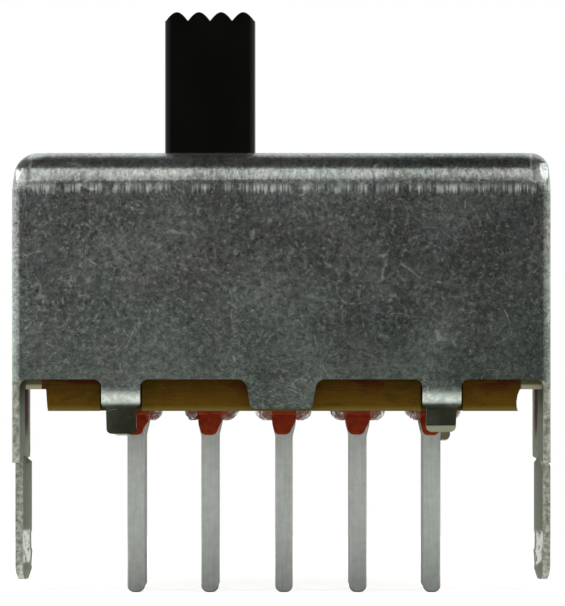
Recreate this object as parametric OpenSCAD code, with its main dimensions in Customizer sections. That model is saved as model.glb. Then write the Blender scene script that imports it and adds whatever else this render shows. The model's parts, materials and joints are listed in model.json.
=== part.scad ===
// Three-position slide switch for a printed circuit board: a drawn steel frame
// crimped round a laminate terminal base, with a moulded slider between them.
// Origin: middle of the terminal grid, on the plane of the board. +Z is up,
// X runs along the switch and the front is at -Y. All sizes are in millimetres.

/* [Frame] */
// Length of the frame over its end plates
frame_len = 18.3; // [17.8:0.1:22]
// Depth of the frame over its front and rear walls
frame_w = 7.6; // [7.2:0.1:10]
// Height of the frame's top above the board
frame_h = 10.55; // [9.5:0.05:14]
// Thickness of the sheet
sheet_t = 0.25; // [0.2:0.01:0.3]
// Outer radius of the bends along the top
bend_r = 0.9; // [0.6:0.05:1]
// Outer radius of the upright corners
edge_r = 0.3; // [0.3:0.02:0.4]
// Height of the walls' lower edges above the board
wall_low = 2.9; // [2.8:0.05:3.2]
// How far the frame sits off the middle of the terminal grid
frame_shift = -0.09; // [-0.15:0.01:0.15]
// Radius of the fillets between the walls' lower edges and the end plates
end_fillet_r = 0.3; // [0.1:0.05:0.4]

/* [Lugs] */
// Width of each mounting leg
leg_w = 2.6; // [1.6:0.1:3.2]
// Length of each mounting leg below the board's top
leg_len = 4.1; // [3:0.1:5]
// Depth of the stiffening gutter pressed into each leg
leg_gutter = 0.2; // [0.1:0.05:0.4]
// Radius of the lower corners of the end plates
lug_corner_r = 0.3; // [0.1:0.05:0.6]

/* [Tabs] */
// Distance from the frame's middle to each crimp tab
crimp_x = 5.45; // [4.8:0.05:5.8]
// Width of a crimp tab above its bend
crimp_w = 1.32; // [1.2:0.02:1.6]
// Width of the folded tongue of a crimp tab
tongue_w = 1.02; // [0.7:0.02:1.1]
// Height above the board at which a crimp tab starts to bend
crimp_z = 2.35; // [2.2:0.05:2.5]
// How far below the start of its bend a crimp tab narrows to its tongue
crimp_neck = 0.45; // [0.2:0.05:0.6]
// Outer radius of the crimp bend
crimp_r = 0.75; // [0.5:0.05:0.8]
// Length of the folded tongue, measured along the sheet with its bend
tongue_len = 1.65; // [1.3:0.05:1.8]
// How far the front crimp tab at the left is folded
crimp_left_angle = 41; // [30:1:56]
// How far the front crimp tab at the right is folded
crimp_right_angle = 55; // [30:1:56]
// How far the rear crimp tabs are folded
crimp_rear_angle = 20; // [10:1:56]
// Width of the straight middle tab at its root
mid_tab_w = 2.42; // [1.6:0.02:3]
// Inward slope of each side of the middle tab
mid_tab_draft = 0.17; // [0:0.01:0.3]
// Length of the middle tab
mid_tab_len = 1; // [0.5:0.05:1.1]
// Radius of the small corners punched in the walls' lower edges
tab_corner_r = 0.15; // [0.05:0.01:0.2]

/* [Slider] */
// Length of the knob along the switch
knob_l = 3.1; // [2.4:0.1:3.6]
// Width of the knob across the switch
knob_w = 3; // [2:0.1:3.2]
// Height of the knob above the frame's top
knob_h = 4.88; // [3:0.1:8]
// Rounding of the knob's upright edges
knob_edge_r = 0.2; // [0.1:0.05:0.4]
// Number of grip teeth across the knob's top
tooth_count = 4; // [2:1:6]
// Distance between grip teeth
tooth_pitch = 0.76; // [0.4:0.02:0.76]
// Height of the grip teeth
tooth_h = 0.3; // [0.1:0.05:0.5]
// Running clearance of the knob in its slot, at each side
slot_play = 0.12; // [0.08:0.01:0.2]
// Spare slot length at each end of the knob's travel
slot_end_play = 0.25; // [0.15:0.05:0.4]
// Running clearance of the carriage inside the frame and the stops
slide_play = 0.1; // [0.06:0.01:0.15]
// Height of the carriage's underside above the base
carriage_lift = 0.69; // [0.6:0.01:0.9]
// Rounding of the carriage's long upper edges
carriage_r = 0.55; // [0.5:0.05:0.7]

/* [Detents] */
// Radius of each detent ball
ball_r = 0.5; // [0.35:0.05:0.5]
// Distance of each detent ball from the middle plane
ball_y = 2.35; // [2.3:0.05:2.4]
// Running clearance round a detent ball
ball_play = 0.04; // [0.03:0.01:0.08]
// Radius of the detent holes in the frame's top
detent_r = 0.35; // [0.2:0.05:0.4]
// Depth of the carriage's spring wells
well_depth = 3.2; // [2.5:0.1:4]
// Wire diameter of the detent springs
spring_wire = 0.12; // [0.08:0.01:0.15]
// Number of turns in each detent spring
spring_turns = 6; // [4:1:8]

/* [Base] */
// Height of the base's underside above the board
base_low = 1.76; // [1.6:0.02:2]
// Thickness of the base
base_t = 1.6; // [1.4:0.05:2]
// Gap between each end of the base and the end plate
end_gap = 0.79; // [0.6:0.01:0.9]
// Thickness of the base's upper rim, which is as long as the frame's inside
rim_t = 0.86; // [0.6:0.02:1]
// Clearance of the base inside the frame
base_play = 0.05; // [0.02:0.01:0.08]
// Clearance of the rim at the end plates, which lets the base sit off the middle
rim_play = 0.12; // [0.1:0.01:0.2]
// Thickness of the stop posts at the base's ends
post_t = 1.2; // [0.8:0.1:1.4]
// Clearance of a crimp tab in its notch in the base
notch_play = 0.05; // [0.02:0.01:0.1]

/* [Terminals] */
// Distance between terminals along a row
pitch = 2.54; // [2.4:0.01:2.54]
// Number of terminals in a row
per_row = 5; // [5:1:5]
// Distance between the two rows
row_gap = 2.54; // [2.2:0.02:2.8]
// Width of a terminal leg
pin_w = 0.6; // [0.58:0.02:0.7]
// Width of a terminal where it passes through the base
shank_w = 0.8; // [0.72:0.02:1]
// Thickness of a terminal
pin_t = 0.4; // [0.3:0.02:0.5]
// Length of a terminal below the board's top
pin_len = 4.51; // [3.5:0.05:5]
// Rounding of a terminal's tip
pin_tip_r = 0.24; // [0.1:0.02:0.28]
// Length of the wide shank below the base
shank_drop = 0.5; // [0.3:0.05:0.6]
// Height over which the shank tapers to the leg
shank_taper = 0.42; // [0.3:0.02:0.5]
// Length of a contact head along the switch
head_l = 1.5; // [1.2:0.05:1.8]
// Width of a contact head across the switch
head_w = 1.1; // [0.8:0.05:1.2]
// Thickness of a contact head
head_t = 0.25; // [0.15:0.01:0.3]

/* [Contacts] */
// Thickness of a moving contact leaf
leaf_t = 0.12; // [0.08:0.01:0.15]
// Width of a moving contact leaf
leaf_w = 1.1; // [0.8:0.05:1.3]
// Length of a contact leaf past its outer bumps
leaf_over = 0.45; // [0.3:0.05:0.6]
// Depth of the pockets that hold the contact leaves
pocket_depth = 0.8; // [0.6:0.05:1.2]
// Clearance round a contact leaf
leaf_play = 0.04; // [0.02:0.01:0.08]

/* [Seals] */
// Reach of a seal's foot from the middle of its terminal
seal_r = 1.1; // [0.9:0.05:1.15]
// Depth of a seal's foot below the base
seal_foot = 0.4; // [0.2:0.05:0.45]
// Depth of a seal's foot at its rim
seal_rim = 0.12; // [0.05:0.01:0.15]
// Depth of a seal's drip below the base
seal_drip = 0.9; // [0.6:0.05:1.1]
// Thickness of the resin on a terminal's face
seal_skin = 0.06; // [0.04:0.01:0.1]

/* [Hidden] */

$fn = 48;
FRONT = -1;
REAR = 1;
CORNER_STEPS = 5;
TOOTH_STEPS = 10;
LEAF_STEPS = 48;
COIL_STEPS = 16;
WIRE_SIDES = 6;

// Inside of the drawn frame
in_len = frame_len - 2 * sheet_t;
in_w = frame_w - 2 * sheet_t;
roof_z = frame_h - sheet_t;
fold_r = bend_r - sheet_t;

// Base, its rim and its posts
base_top = base_low + base_t;
base_len = in_len - 2 * end_gap;
base_w = in_w - 2 * base_play;
rim_z = base_top - rim_t;
rim_len = in_len - 2 * rim_play;
post_top = roof_z - base_play;
post_w = in_w - 2 * fold_r;

// Slider: the carriage fills the room between the posts, less its travel
step = pitch;
rest_x = -step;
carriage_l = base_len - 2 * post_t - 2 * step - 2 * slide_play;
carriage_w = in_w - 2 * slide_play;
carriage_low = base_top + carriage_lift;
carriage_top = roof_z - slide_play;
knob_top = frame_h + knob_h;
slot_l = knob_l + 2 * step + 2 * slot_end_play;
slot_w = knob_w + 2 * slot_play;

// Detents
well_r = ball_r + ball_play;
ball_z = roof_z - ball_play - ball_r;
coil_r = well_r - ball_play - spring_wire;
coil_top = ball_z - ball_play / 2 - sqrt(pow(ball_r + spring_wire / 2, 2) - pow(coil_r, 2));
well_low = carriage_top - well_depth;

// Contact leaves
head_top = base_top + head_t;
leaf_half = step + leaf_over;
leaf_low = head_top + leaf_play;
pocket_top = carriage_low + pocket_depth;
row_y = row_gap / 2;

// Angle in radians
function radians(angle) = angle * PI / 180;
// How far inside the frame a crimp tab folded by an angle reaches at height z
function crimp_reach(angle, z) =
    let (inner_r = crimp_r - sheet_t, drop = crimp_z - z)
    drop < inner_r * sin(angle)
        ? crimp_r - sqrt(pow(inner_r, 2) - pow(max(drop, 0), 2))
        : crimp_r - inner_r * cos(angle) + (drop - inner_r * sin(angle)) * tan(angle);
notch_reach = notch_play + crimp_reach(
    max(crimp_left_angle, crimp_right_angle, crimp_rear_angle), base_low);

// Unit vector of v
function unit(v) = v / norm(v);
// Point at angle a on a circle of radius r about c
function on_circle(c, r, a) = [c[0] + r * cos(a), c[1] + r * sin(a)];
// Angle of a direction
function heading(v) = atan2(v[1], v[0]);
// Smallest signed turn between two angles
function turn(a, b) = atan2(sin(b - a), cos(b - a));
// Arc of radius r that rounds the corner b between its neighbours a and c
function corner_arc(a, b, c, r) =
    let (u = unit(a - b), v = unit(c - b))
    let (half = acos(u * v) / 2)
    let (mid = b + unit(u + v) * r / sin(half))
    let (a0 = heading(b + u * r / tan(half) - mid))
    let (sweep = turn(a0, heading(b + v * r / tan(half) - mid)))
    [for (i = [0:CORNER_STEPS]) on_circle(mid, r, a0 + sweep * i / CORNER_STEPS)];
// Outline through the corners [x, y, radius], each rounded by its radius
function rounded(corners) =
    let (n = len(corners))
    let (at = [for (c = corners) [c[0], c[1]]])
    [for (i = [0:n - 1])
        for (p = corners[i][2] > 0
            ? corner_arc(at[(i + n - 1) % n], at[i], at[(i + 1) % n], corners[i][2])
            : [at[i]]) p];

// Extrudes an outline drawn in X and Z by a length along Y, about the plane y
module along_y(y, length) {
    translate([0, y + length / 2, 0])
        rotate([90, 0, 0]) linear_extrude(length) children();
}
// Extrudes an outline drawn in Y and Z by a length along X, about the plane x
module along_x(x, length) {
    translate([x - length / 2, 0, 0])
        rotate([90, 0, 90]) linear_extrude(length) children();
}
// Box with its middle at (0, y) and its floor at z
module block(l, w, low, high, y = 0) {
    translate([-l / 2, y - w / 2, low]) cube([l, w, high - low]);
}
// Arch outline of a given width and top, with its upper corners rounded by r
module arch(w, low, high, r) {
    translate([-w / 2, low]) square([w, high - r - low]);
    translate([-w / 2 + r, low]) square([w - 2 * r, high - low]);
    for (side = [-1, 1]) translate([side * (w / 2 - r), high - r]) circle(r);
}
// Rectangle with its middle at 0 and its corners rounded by r
module plate(l, w, r) {
    polygon(rounded([for (c = [[-1, -1], [1, -1], [1, 1], [-1, 1]])
        [c[0] * l / 2, c[1] * w / 2, r]]));
}
// Solid that fills the drawn box, out to a length, a width and a height. Its top
// edges are rounded by r and its upright corners by corner_r.
module box_fill(l, w, low, high, r, corner_r) {
    intersection() {
        along_x(0, l) arch(w, low, high, r);
        along_y(0, w) arch(l, low, high, r);
        translate([0, 0, low]) linear_extrude(high - low) plate(l, w, corner_r);
    }
}

// Section of a crimp tab: straight down from its root, then folded inward by an
// angle. Its outer face lies at 0 and the inside of the frame is at +X.
module crimp_section(angle) {
    mid_r = crimp_r - sheet_t / 2;
    tail = tongue_len - mid_r * radians(angle);
    translate([0, crimp_z]) square([sheet_t, wall_low + tab_corner_r - crimp_z]);
    translate([crimp_r, crimp_z]) {
        intersection() {
            difference() {
                circle(crimp_r);
                circle(crimp_r - sheet_t);
            }
            polygon([[0, 0], [-2 * crimp_r, 0],
                on_circle([0, 0], 2 * crimp_r, 180 + angle)]);
        }
        rotate(angle) translate([-crimp_r, -tail]) square([sheet_t, tail]);
    }
}
// Front view of a crimp tab, with its fillets at the wall and its narrow tongue
module crimp_outline() {
    root = crimp_w / 2;
    tip = tongue_w / 2;
    neck_z = crimp_z - crimp_neck;
    polygon(rounded([
        [-root - 2 * tab_corner_r, wall_low + tab_corner_r, 0],
        [-root - 2 * tab_corner_r, wall_low, 0],
        [-root, wall_low, tab_corner_r],
        [-root, neck_z, tab_corner_r / 2],
        [-tip, neck_z, tab_corner_r / 2],
        [-tip, 0, 0],
        [tip, 0, 0],
        [tip, neck_z, tab_corner_r / 2],
        [root, neck_z, tab_corner_r / 2],
        [root, wall_low, tab_corner_r],
        [root + 2 * tab_corner_r, wall_low, 0],
        [root + 2 * tab_corner_r, wall_low + tab_corner_r, 0]
    ]));
}
// One crimp tab of the wall at the front, folded by an angle
module crimp_tab(angle) {
    intersection() {
        along_x(0, 2 * crimp_w) translate([-frame_w / 2, 0]) crimp_section(angle);
        along_y(0, frame_w) crimp_outline();
    }
}
// Straight middle tab of the wall at the front
module mid_tab() {
    root = mid_tab_w / 2;
    tip = root - mid_tab_draft;
    along_y(-frame_w / 2 + sheet_t / 2, sheet_t) polygon(rounded([
        [-root - 2 * tab_corner_r, wall_low + tab_corner_r, 0],
        [-root - 2 * tab_corner_r, wall_low, 0],
        [-root, wall_low, tab_corner_r],
        [-tip, wall_low - mid_tab_len, tab_corner_r],
        [tip, wall_low - mid_tab_len, tab_corner_r],
        [root, wall_low, tab_corner_r],
        [root + 2 * tab_corner_r, wall_low, 0],
        [root + 2 * tab_corner_r, wall_low + tab_corner_r, 0]
    ]));
}
// All the tabs of one wall, drawn for the front, with the angle of each crimp tab
module wall_tabs(left_angle, right_angle) {
    mid_tab();
    translate([-crimp_x, 0, 0]) crimp_tab(left_angle);
    translate([crimp_x, 0, 0]) crimp_tab(right_angle);
}
// Mounting leg at the +X end: a strip with a shallow gutter and a round tip
module leg() {
    gutter_r = (pow(leg_w / 2, 2) + pow(leg_gutter, 2)) / (2 * leg_gutter);
    intersection() {
        translate([frame_len / 2 + gutter_r - leg_gutter, 0, -leg_len])
            linear_extrude(leg_len + leg_gutter) difference() {
                circle(gutter_r + sheet_t, $fn = 4 * $fn);
                circle(gutter_r, $fn = 4 * $fn);
            }
        along_x(frame_len / 2, 4 * bend_r) {
            translate([0, -leg_len + leg_w / 2]) circle(leg_w / 2);
            translate([-leg_w / 2, -leg_len + leg_w / 2])
                square([leg_w, leg_len - leg_w / 2 + leg_gutter]);
        }
    }
}
// The +X end plate below the walls, with its rounded lower corners and the
// fillets up to the walls
module end_plate_low() {
    half = frame_w / 2;
    fillet_x = in_len / 2 - end_fillet_r;
    intersection() {
        linear_extrude(wall_low) plate(frame_len, frame_w, edge_r);
        union() {
            along_x((frame_len - sheet_t) / 2, sheet_t) polygon(rounded([
                [-half, wall_low, 0], [-half, 0, lug_corner_r],
                [half, 0, lug_corner_r], [half, wall_low, 0]
            ]));
            for (side = [FRONT, REAR])
                along_y(side * (frame_w - sheet_t) / 2, sheet_t) difference() {
                    translate([fillet_x, wall_low - end_fillet_r])
                        square([end_fillet_r + sheet_t, end_fillet_r]);
                    translate([fillet_x, wall_low - end_fillet_r]) circle(end_fillet_r);
                }
        }
    }
}

module frame() {
    color([0.31, 0.32, 0.31]) translate([frame_shift, 0, 0]) {
        difference() {
            box_fill(frame_len, frame_w, wall_low, frame_h, bend_r, edge_r);
            box_fill(in_len, in_w, wall_low - sheet_t, roof_z, fold_r, edge_r - sheet_t);
            // Slot for the knob, and the detent holes beside it
            translate([0, 0, roof_z - sheet_t]) linear_extrude(3 * sheet_t)
                plate(slot_l, slot_w, knob_edge_r);
            for (y = [-ball_y, ball_y]) for (k = [-1:1])
                translate([k * step - frame_shift, y, roof_z - sheet_t])
                    cylinder(r = detent_r, h = 3 * sheet_t);
        }
        for (side = [0, 1]) mirror([side, 0, 0]) {
            end_plate_low();
            leg();
        }
        wall_tabs(crimp_left_angle, crimp_right_angle);
        mirror([0, 1, 0]) wall_tabs(crimp_rear_angle, crimp_rear_angle);
    }
}

// Outline of the knob from the front: straight sides and a row of round teeth
module knob_outline() {
    half = tooth_count * tooth_pitch / 2;
    steps = tooth_count * TOOTH_STEPS;
    valley = knob_top - tooth_h;
    polygon(concat(
        [[-knob_l / 2, carriage_top - carriage_r], [knob_l / 2, carriage_top - carriage_r]],
        [[knob_l / 2, valley]],
        [for (i = [0:steps]) [half - 2 * half * i / steps,
            valley + tooth_h * abs(sin(180 * i / TOOTH_STEPS))]],
        [[-knob_l / 2, valley]]
    ));
}

module slider() {
    color([0.05, 0.05, 0.045]) translate([rest_x, 0, 0]) difference() {
        union() {
            along_x(0, carriage_l) arch(carriage_w, carriage_low, carriage_top, carriage_r);
            intersection() {
                along_y(0, knob_w) knob_outline();
                linear_extrude(knob_top) plate(knob_l, knob_w, knob_edge_r);
            }
        }
        for (side = [FRONT, REAR]) {
            translate([0, side * ball_y, well_low]) cylinder(r = well_r, h = 2 * well_depth);
            block(2 * (leaf_half + leaf_play), leaf_w + 2 * leaf_play,
                carriage_low - pocket_depth, pocket_top, side * row_y);
        }
    }
}

// Wavy leaf that presses on three neighbouring contact heads
module contact(side) {
    mid_low = leaf_low + leaf_t / 2;
    mid_high = pocket_top - leaf_play - leaf_t / 2;
    function height(x) = mid_low + (mid_high - mid_low) * (1 - cos(360 * x / step)) / 2;
    xs = [for (i = [0:LEAF_STEPS]) leaf_half * (2 * i / LEAF_STEPS - 1)];
    color([0.75, 0.62, 0.4]) translate([rest_x, 0, 0])
        along_y(side * row_y, leaf_w) polygon(concat(
            [for (x = xs) [x, height(x) - leaf_t / 2]],
            [for (i = [LEAF_STEPS:-1:0]) [xs[i], height(xs[i]) + leaf_t / 2]]
        ));
}

module detent_ball(side) {
    color([0.75, 0.76, 0.77]) translate([rest_x, side * ball_y, ball_z]) sphere(ball_r);
}

// Helical spring that pushes a detent ball up
module detent_spring(side) {
    low = well_low + spring_wire / 2;
    rise = coil_top - low;
    rings = spring_turns * COIL_STEPS;
    points = [for (i = [0:rings]) for (k = [0:WIRE_SIDES - 1])
        let (a = 360 * i / COIL_STEPS, b = 360 * k / WIRE_SIDES)
        let (r = coil_r + spring_wire / 2 * cos(b))
        [r * cos(a), r * sin(a), low + rise * i / rings + spring_wire / 2 * sin(b)]];
    function corner(i, k) = i * WIRE_SIDES + k % WIRE_SIDES;
    faces = concat(
        [[for (k = [0:WIRE_SIDES - 1]) corner(0, k)]],
        [for (i = [0:rings - 1]) for (k = [0:WIRE_SIDES - 1])
            [corner(i, k), corner(i + 1, k), corner(i + 1, k + 1), corner(i, k + 1)]],
        [[for (k = [WIRE_SIDES - 1:-1:0]) corner(rings, k)]]
    );
    color([0.7, 0.7, 0.72]) translate([rest_x, side * ball_y, 0]) polyhedron(points, faces);
}

module base() {
    notch_w = crimp_w + 2 * notch_play;
    color([0.3, 0.22, 0.08]) difference() {
        union() {
            block(base_len, base_w, base_low, base_top);
            block(rim_len, base_w, rim_z, base_top);
            for (side = [-1, 1]) translate([side * (base_len - post_t) / 2, 0, 0])
                block(post_t, post_w, base_low, post_top);
        }
        for (side = [-1, 1]) for (wall = [FRONT, REAR])
            translate([frame_shift + side * crimp_x, wall * frame_w / 2, 0])
                block(notch_w, 2 * notch_reach, base_low - base_t, base_top + base_t);
        for (side = [FRONT, REAR]) for (i = [1:per_row])
            translate([pin_x(i), side * row_y, 0])
                block(shank_w, pin_t, base_low - base_t, base_top + base_t);
    }
}

// Place of terminal i along its row
function pin_x(i) = (i - (per_row + 1) / 2) * pitch;
// Outline of a terminal from the front, below its head
module terminal_outline() {
    taper_z = base_low - shank_drop;
    polygon(rounded([
        [-shank_w / 2, head_top, 0],
        [-shank_w / 2, taper_z, 0],
        [-pin_w / 2, taper_z - shank_taper, 0],
        [-pin_w / 2, -pin_len, pin_tip_r],
        [pin_w / 2, -pin_len, pin_tip_r],
        [pin_w / 2, taper_z - shank_taper, 0],
        [shank_w / 2, taper_z, 0],
        [shank_w / 2, head_top, 0]
    ]));
}
// One terminal: a blade with a flat contact head on top of the base
module terminal(side, i) {
    color([0.57, 0.59, 0.57]) translate([pin_x(i), side * row_y, 0]) {
        along_y(0, pin_t) terminal_outline();
        block(head_l, head_w, base_top, head_top);
    }
}

// Resin seal: a shallow foot under the base and a drip down the terminal's faces
module seal(side, i) {
    drip_top = shank_w / 2 + seal_skin;
    drip_tip = pin_w / 2 - seal_skin;
    color([0.4, 0.12, 0.05]) translate([pin_x(i), side * row_y, 0]) difference() {
        union() {
            rotate_extrude() polygon([[0, base_low], [seal_r, base_low],
                [seal_r, base_low - seal_rim], [shank_w / 2, base_low - seal_foot],
                [0, base_low - seal_foot]]);
            along_y(0, pin_t + 2 * seal_skin) polygon([[-drip_top, base_low],
                [-drip_top, base_low - seal_foot], [-drip_tip, base_low - seal_drip],
                [drip_tip, base_low - seal_drip], [drip_top, base_low - seal_foot],
                [drip_top, base_low]]);
        }
        along_y(0, pin_t) terminal_outline();
    }
}

frame();
slider();
contact(FRONT);  // contact_front
contact(REAR);  // contact_rear
detent_ball(FRONT);  // detent_ball_front
detent_ball(REAR);  // detent_ball_rear
detent_spring(FRONT);  // detent_spring_front
detent_spring(REAR);  // detent_spring_rear
base();
for (i = [1:per_row]) {
    terminal(FRONT, i);
    terminal(REAR, i);
    seal(FRONT, i);
    seal(REAR, i);
}
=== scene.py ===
"""Looks of a three-position slide switch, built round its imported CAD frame.

The switch is a drawn, tin-plated steel frame that is crimped over a laminate terminal base,
with a moulded slider between them. Each piece is modelled in millimetres on a bench and set
down in metres, in the place of the CAD node that it stands for.
"""

import json
import logging
import math
import random
from contextlib import contextmanager
from dataclasses import dataclass
from enum import Enum
from typing import Callable, ContextManager, Iterator, Sequence

import bmesh
import bpy
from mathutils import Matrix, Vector

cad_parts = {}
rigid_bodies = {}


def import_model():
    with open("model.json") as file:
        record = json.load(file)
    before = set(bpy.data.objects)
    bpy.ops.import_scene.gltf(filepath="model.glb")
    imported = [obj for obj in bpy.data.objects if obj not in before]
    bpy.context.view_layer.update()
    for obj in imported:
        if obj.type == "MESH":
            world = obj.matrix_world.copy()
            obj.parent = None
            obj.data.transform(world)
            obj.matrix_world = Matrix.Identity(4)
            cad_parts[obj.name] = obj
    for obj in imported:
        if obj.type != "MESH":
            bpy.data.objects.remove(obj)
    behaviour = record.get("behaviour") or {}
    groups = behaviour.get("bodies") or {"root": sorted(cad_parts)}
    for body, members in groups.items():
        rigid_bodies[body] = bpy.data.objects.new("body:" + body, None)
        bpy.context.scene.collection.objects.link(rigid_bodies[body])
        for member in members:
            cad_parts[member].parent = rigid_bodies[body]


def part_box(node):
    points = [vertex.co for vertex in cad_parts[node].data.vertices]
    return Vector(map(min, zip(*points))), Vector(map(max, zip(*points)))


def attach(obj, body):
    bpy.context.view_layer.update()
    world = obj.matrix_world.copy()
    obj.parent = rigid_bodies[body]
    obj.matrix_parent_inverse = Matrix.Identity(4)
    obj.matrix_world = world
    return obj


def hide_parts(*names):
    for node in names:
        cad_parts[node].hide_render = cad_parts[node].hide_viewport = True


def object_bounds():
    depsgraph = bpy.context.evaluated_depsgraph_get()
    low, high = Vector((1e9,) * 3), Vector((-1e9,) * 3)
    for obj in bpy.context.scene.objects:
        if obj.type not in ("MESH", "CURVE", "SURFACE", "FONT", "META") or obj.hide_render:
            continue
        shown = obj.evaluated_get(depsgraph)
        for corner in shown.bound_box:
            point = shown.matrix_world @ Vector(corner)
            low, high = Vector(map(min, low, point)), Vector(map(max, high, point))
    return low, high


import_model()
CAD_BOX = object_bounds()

Colour = tuple[float, float, float]
Span = tuple[float, float]
Where = Callable[[Vector], bool]
Test = Callable[[Vector, Vector], bool]

LOG = logging.getLogger("slide_switch")
MM = 0.001
NEAR = 1e-3
ALIGNED = 0.9
FRAME_BODY = "switch_body"
SLIDER_BODY = "slider_set"


# Sizes, in millimetres ------------------------------------------------------------------


@dataclass(frozen=True)
class Box:
    """Lowest and highest corner of a CAD node."""

    low: Vector
    high: Vector

    @classmethod
    def of(cls, node: str) -> "Box":
        """The box of a CAD node."""
        low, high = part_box(node)
        return cls(low / MM, high / MM)

    @property
    def centre(self) -> Vector:
        """Middle of the box."""
        return (self.low + self.high) / 2

    @property
    def size(self) -> Vector:
        """Extent of the box along each axis."""
        return self.high - self.low


FRAME_BOX = Box.of("frame")
BASE_BOX = Box.of("base")
TOP_Z = FRAME_BOX.high.z
MIDDLE_X = FRAME_BOX.centre.x
HALF_L = FRAME_BOX.size.x / 2
PITCH = (Box.of("terminal_front_2").centre - Box.of("terminal_front_1").centre).x
ROW_Y = Box.of("terminal_rear_1").centre.y
DETENT_Y = Box.of("detent_ball_rear").centre.y
SHEET = 0.25
CRIMP_X = 5.45
SHANK_W = 0.8
PIN_W = 0.6
PIN_T = 0.4


# Shader maths ---------------------------------------------------------------------------


def operator(operation: str, reflected: bool = False) -> Callable[..., "Signal"]:
    """Makes a method of Signal that adds one Math node.

    Args:
        operation: Blender's name of the operation.
        reflected: Whether the signal is the second operand.

    Returns:
        The method.
    """
    def apply(self: "Signal", other: object = 0.0) -> "Signal":
        """Adds the node with its two inputs."""
        first, second = (other, self) if reflected else (self, other)
        return self.shader.node(
            "ShaderNodeMath", {"operation": operation}, {0: first, 1: second}
        )
    return apply


class Signal:
    """A value inside a material. Arithmetic on it adds Math nodes."""

    def __init__(self, shader: "Shader", socket: bpy.types.NodeSocket) -> None:
        """Wraps one output socket of a shader."""
        self.shader = shader
        self.socket = socket

    __add__, __radd__ = operator("ADD"), operator("ADD", True)
    __sub__, __rsub__ = operator("SUBTRACT"), operator("SUBTRACT", True)
    __mul__, __rmul__ = operator("MULTIPLY"), operator("MULTIPLY", True)
    __truediv__, __rtruediv__ = operator("DIVIDE"), operator("DIVIDE", True)
    __pow__, __abs__ = operator("POWER"), operator("ABSOLUTE")
    maximum, minimum = operator("MAXIMUM"), operator("MINIMUM")

    def clamped(self) -> "Signal":
        """This value, held between 0 and 1."""
        return self.maximum(0.0).minimum(1.0)

    def swing(self, size: float) -> "Signal":
        """How far this noise lies from its middle of 0.5, times a size."""
        return (self - 0.5) * size

    def rise(self, low: float, high: float) -> "Signal":
        """Smooth step of this value.

        Args:
            low: Value at which the step leaves 0.
            high: Value at which it reaches 1. It may be below low.

        Returns:
            A value from 0 to 1.
        """
        if low > high:
            return 1 - self.rise(high, low)
        return self.shader.node(
            "ShaderNodeMapRange",
            {"interpolation_type": "SMOOTHSTEP"},
            {"Value": self, "From Min": low, "From Max": high},
        )

    def bump_at(self, middle: float, reach: float) -> "Signal":
        """Smooth hump that is 1 at the middle and 0 past its reach on both sides."""
        return abs(self - middle).rise(reach, 0.0)


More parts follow.
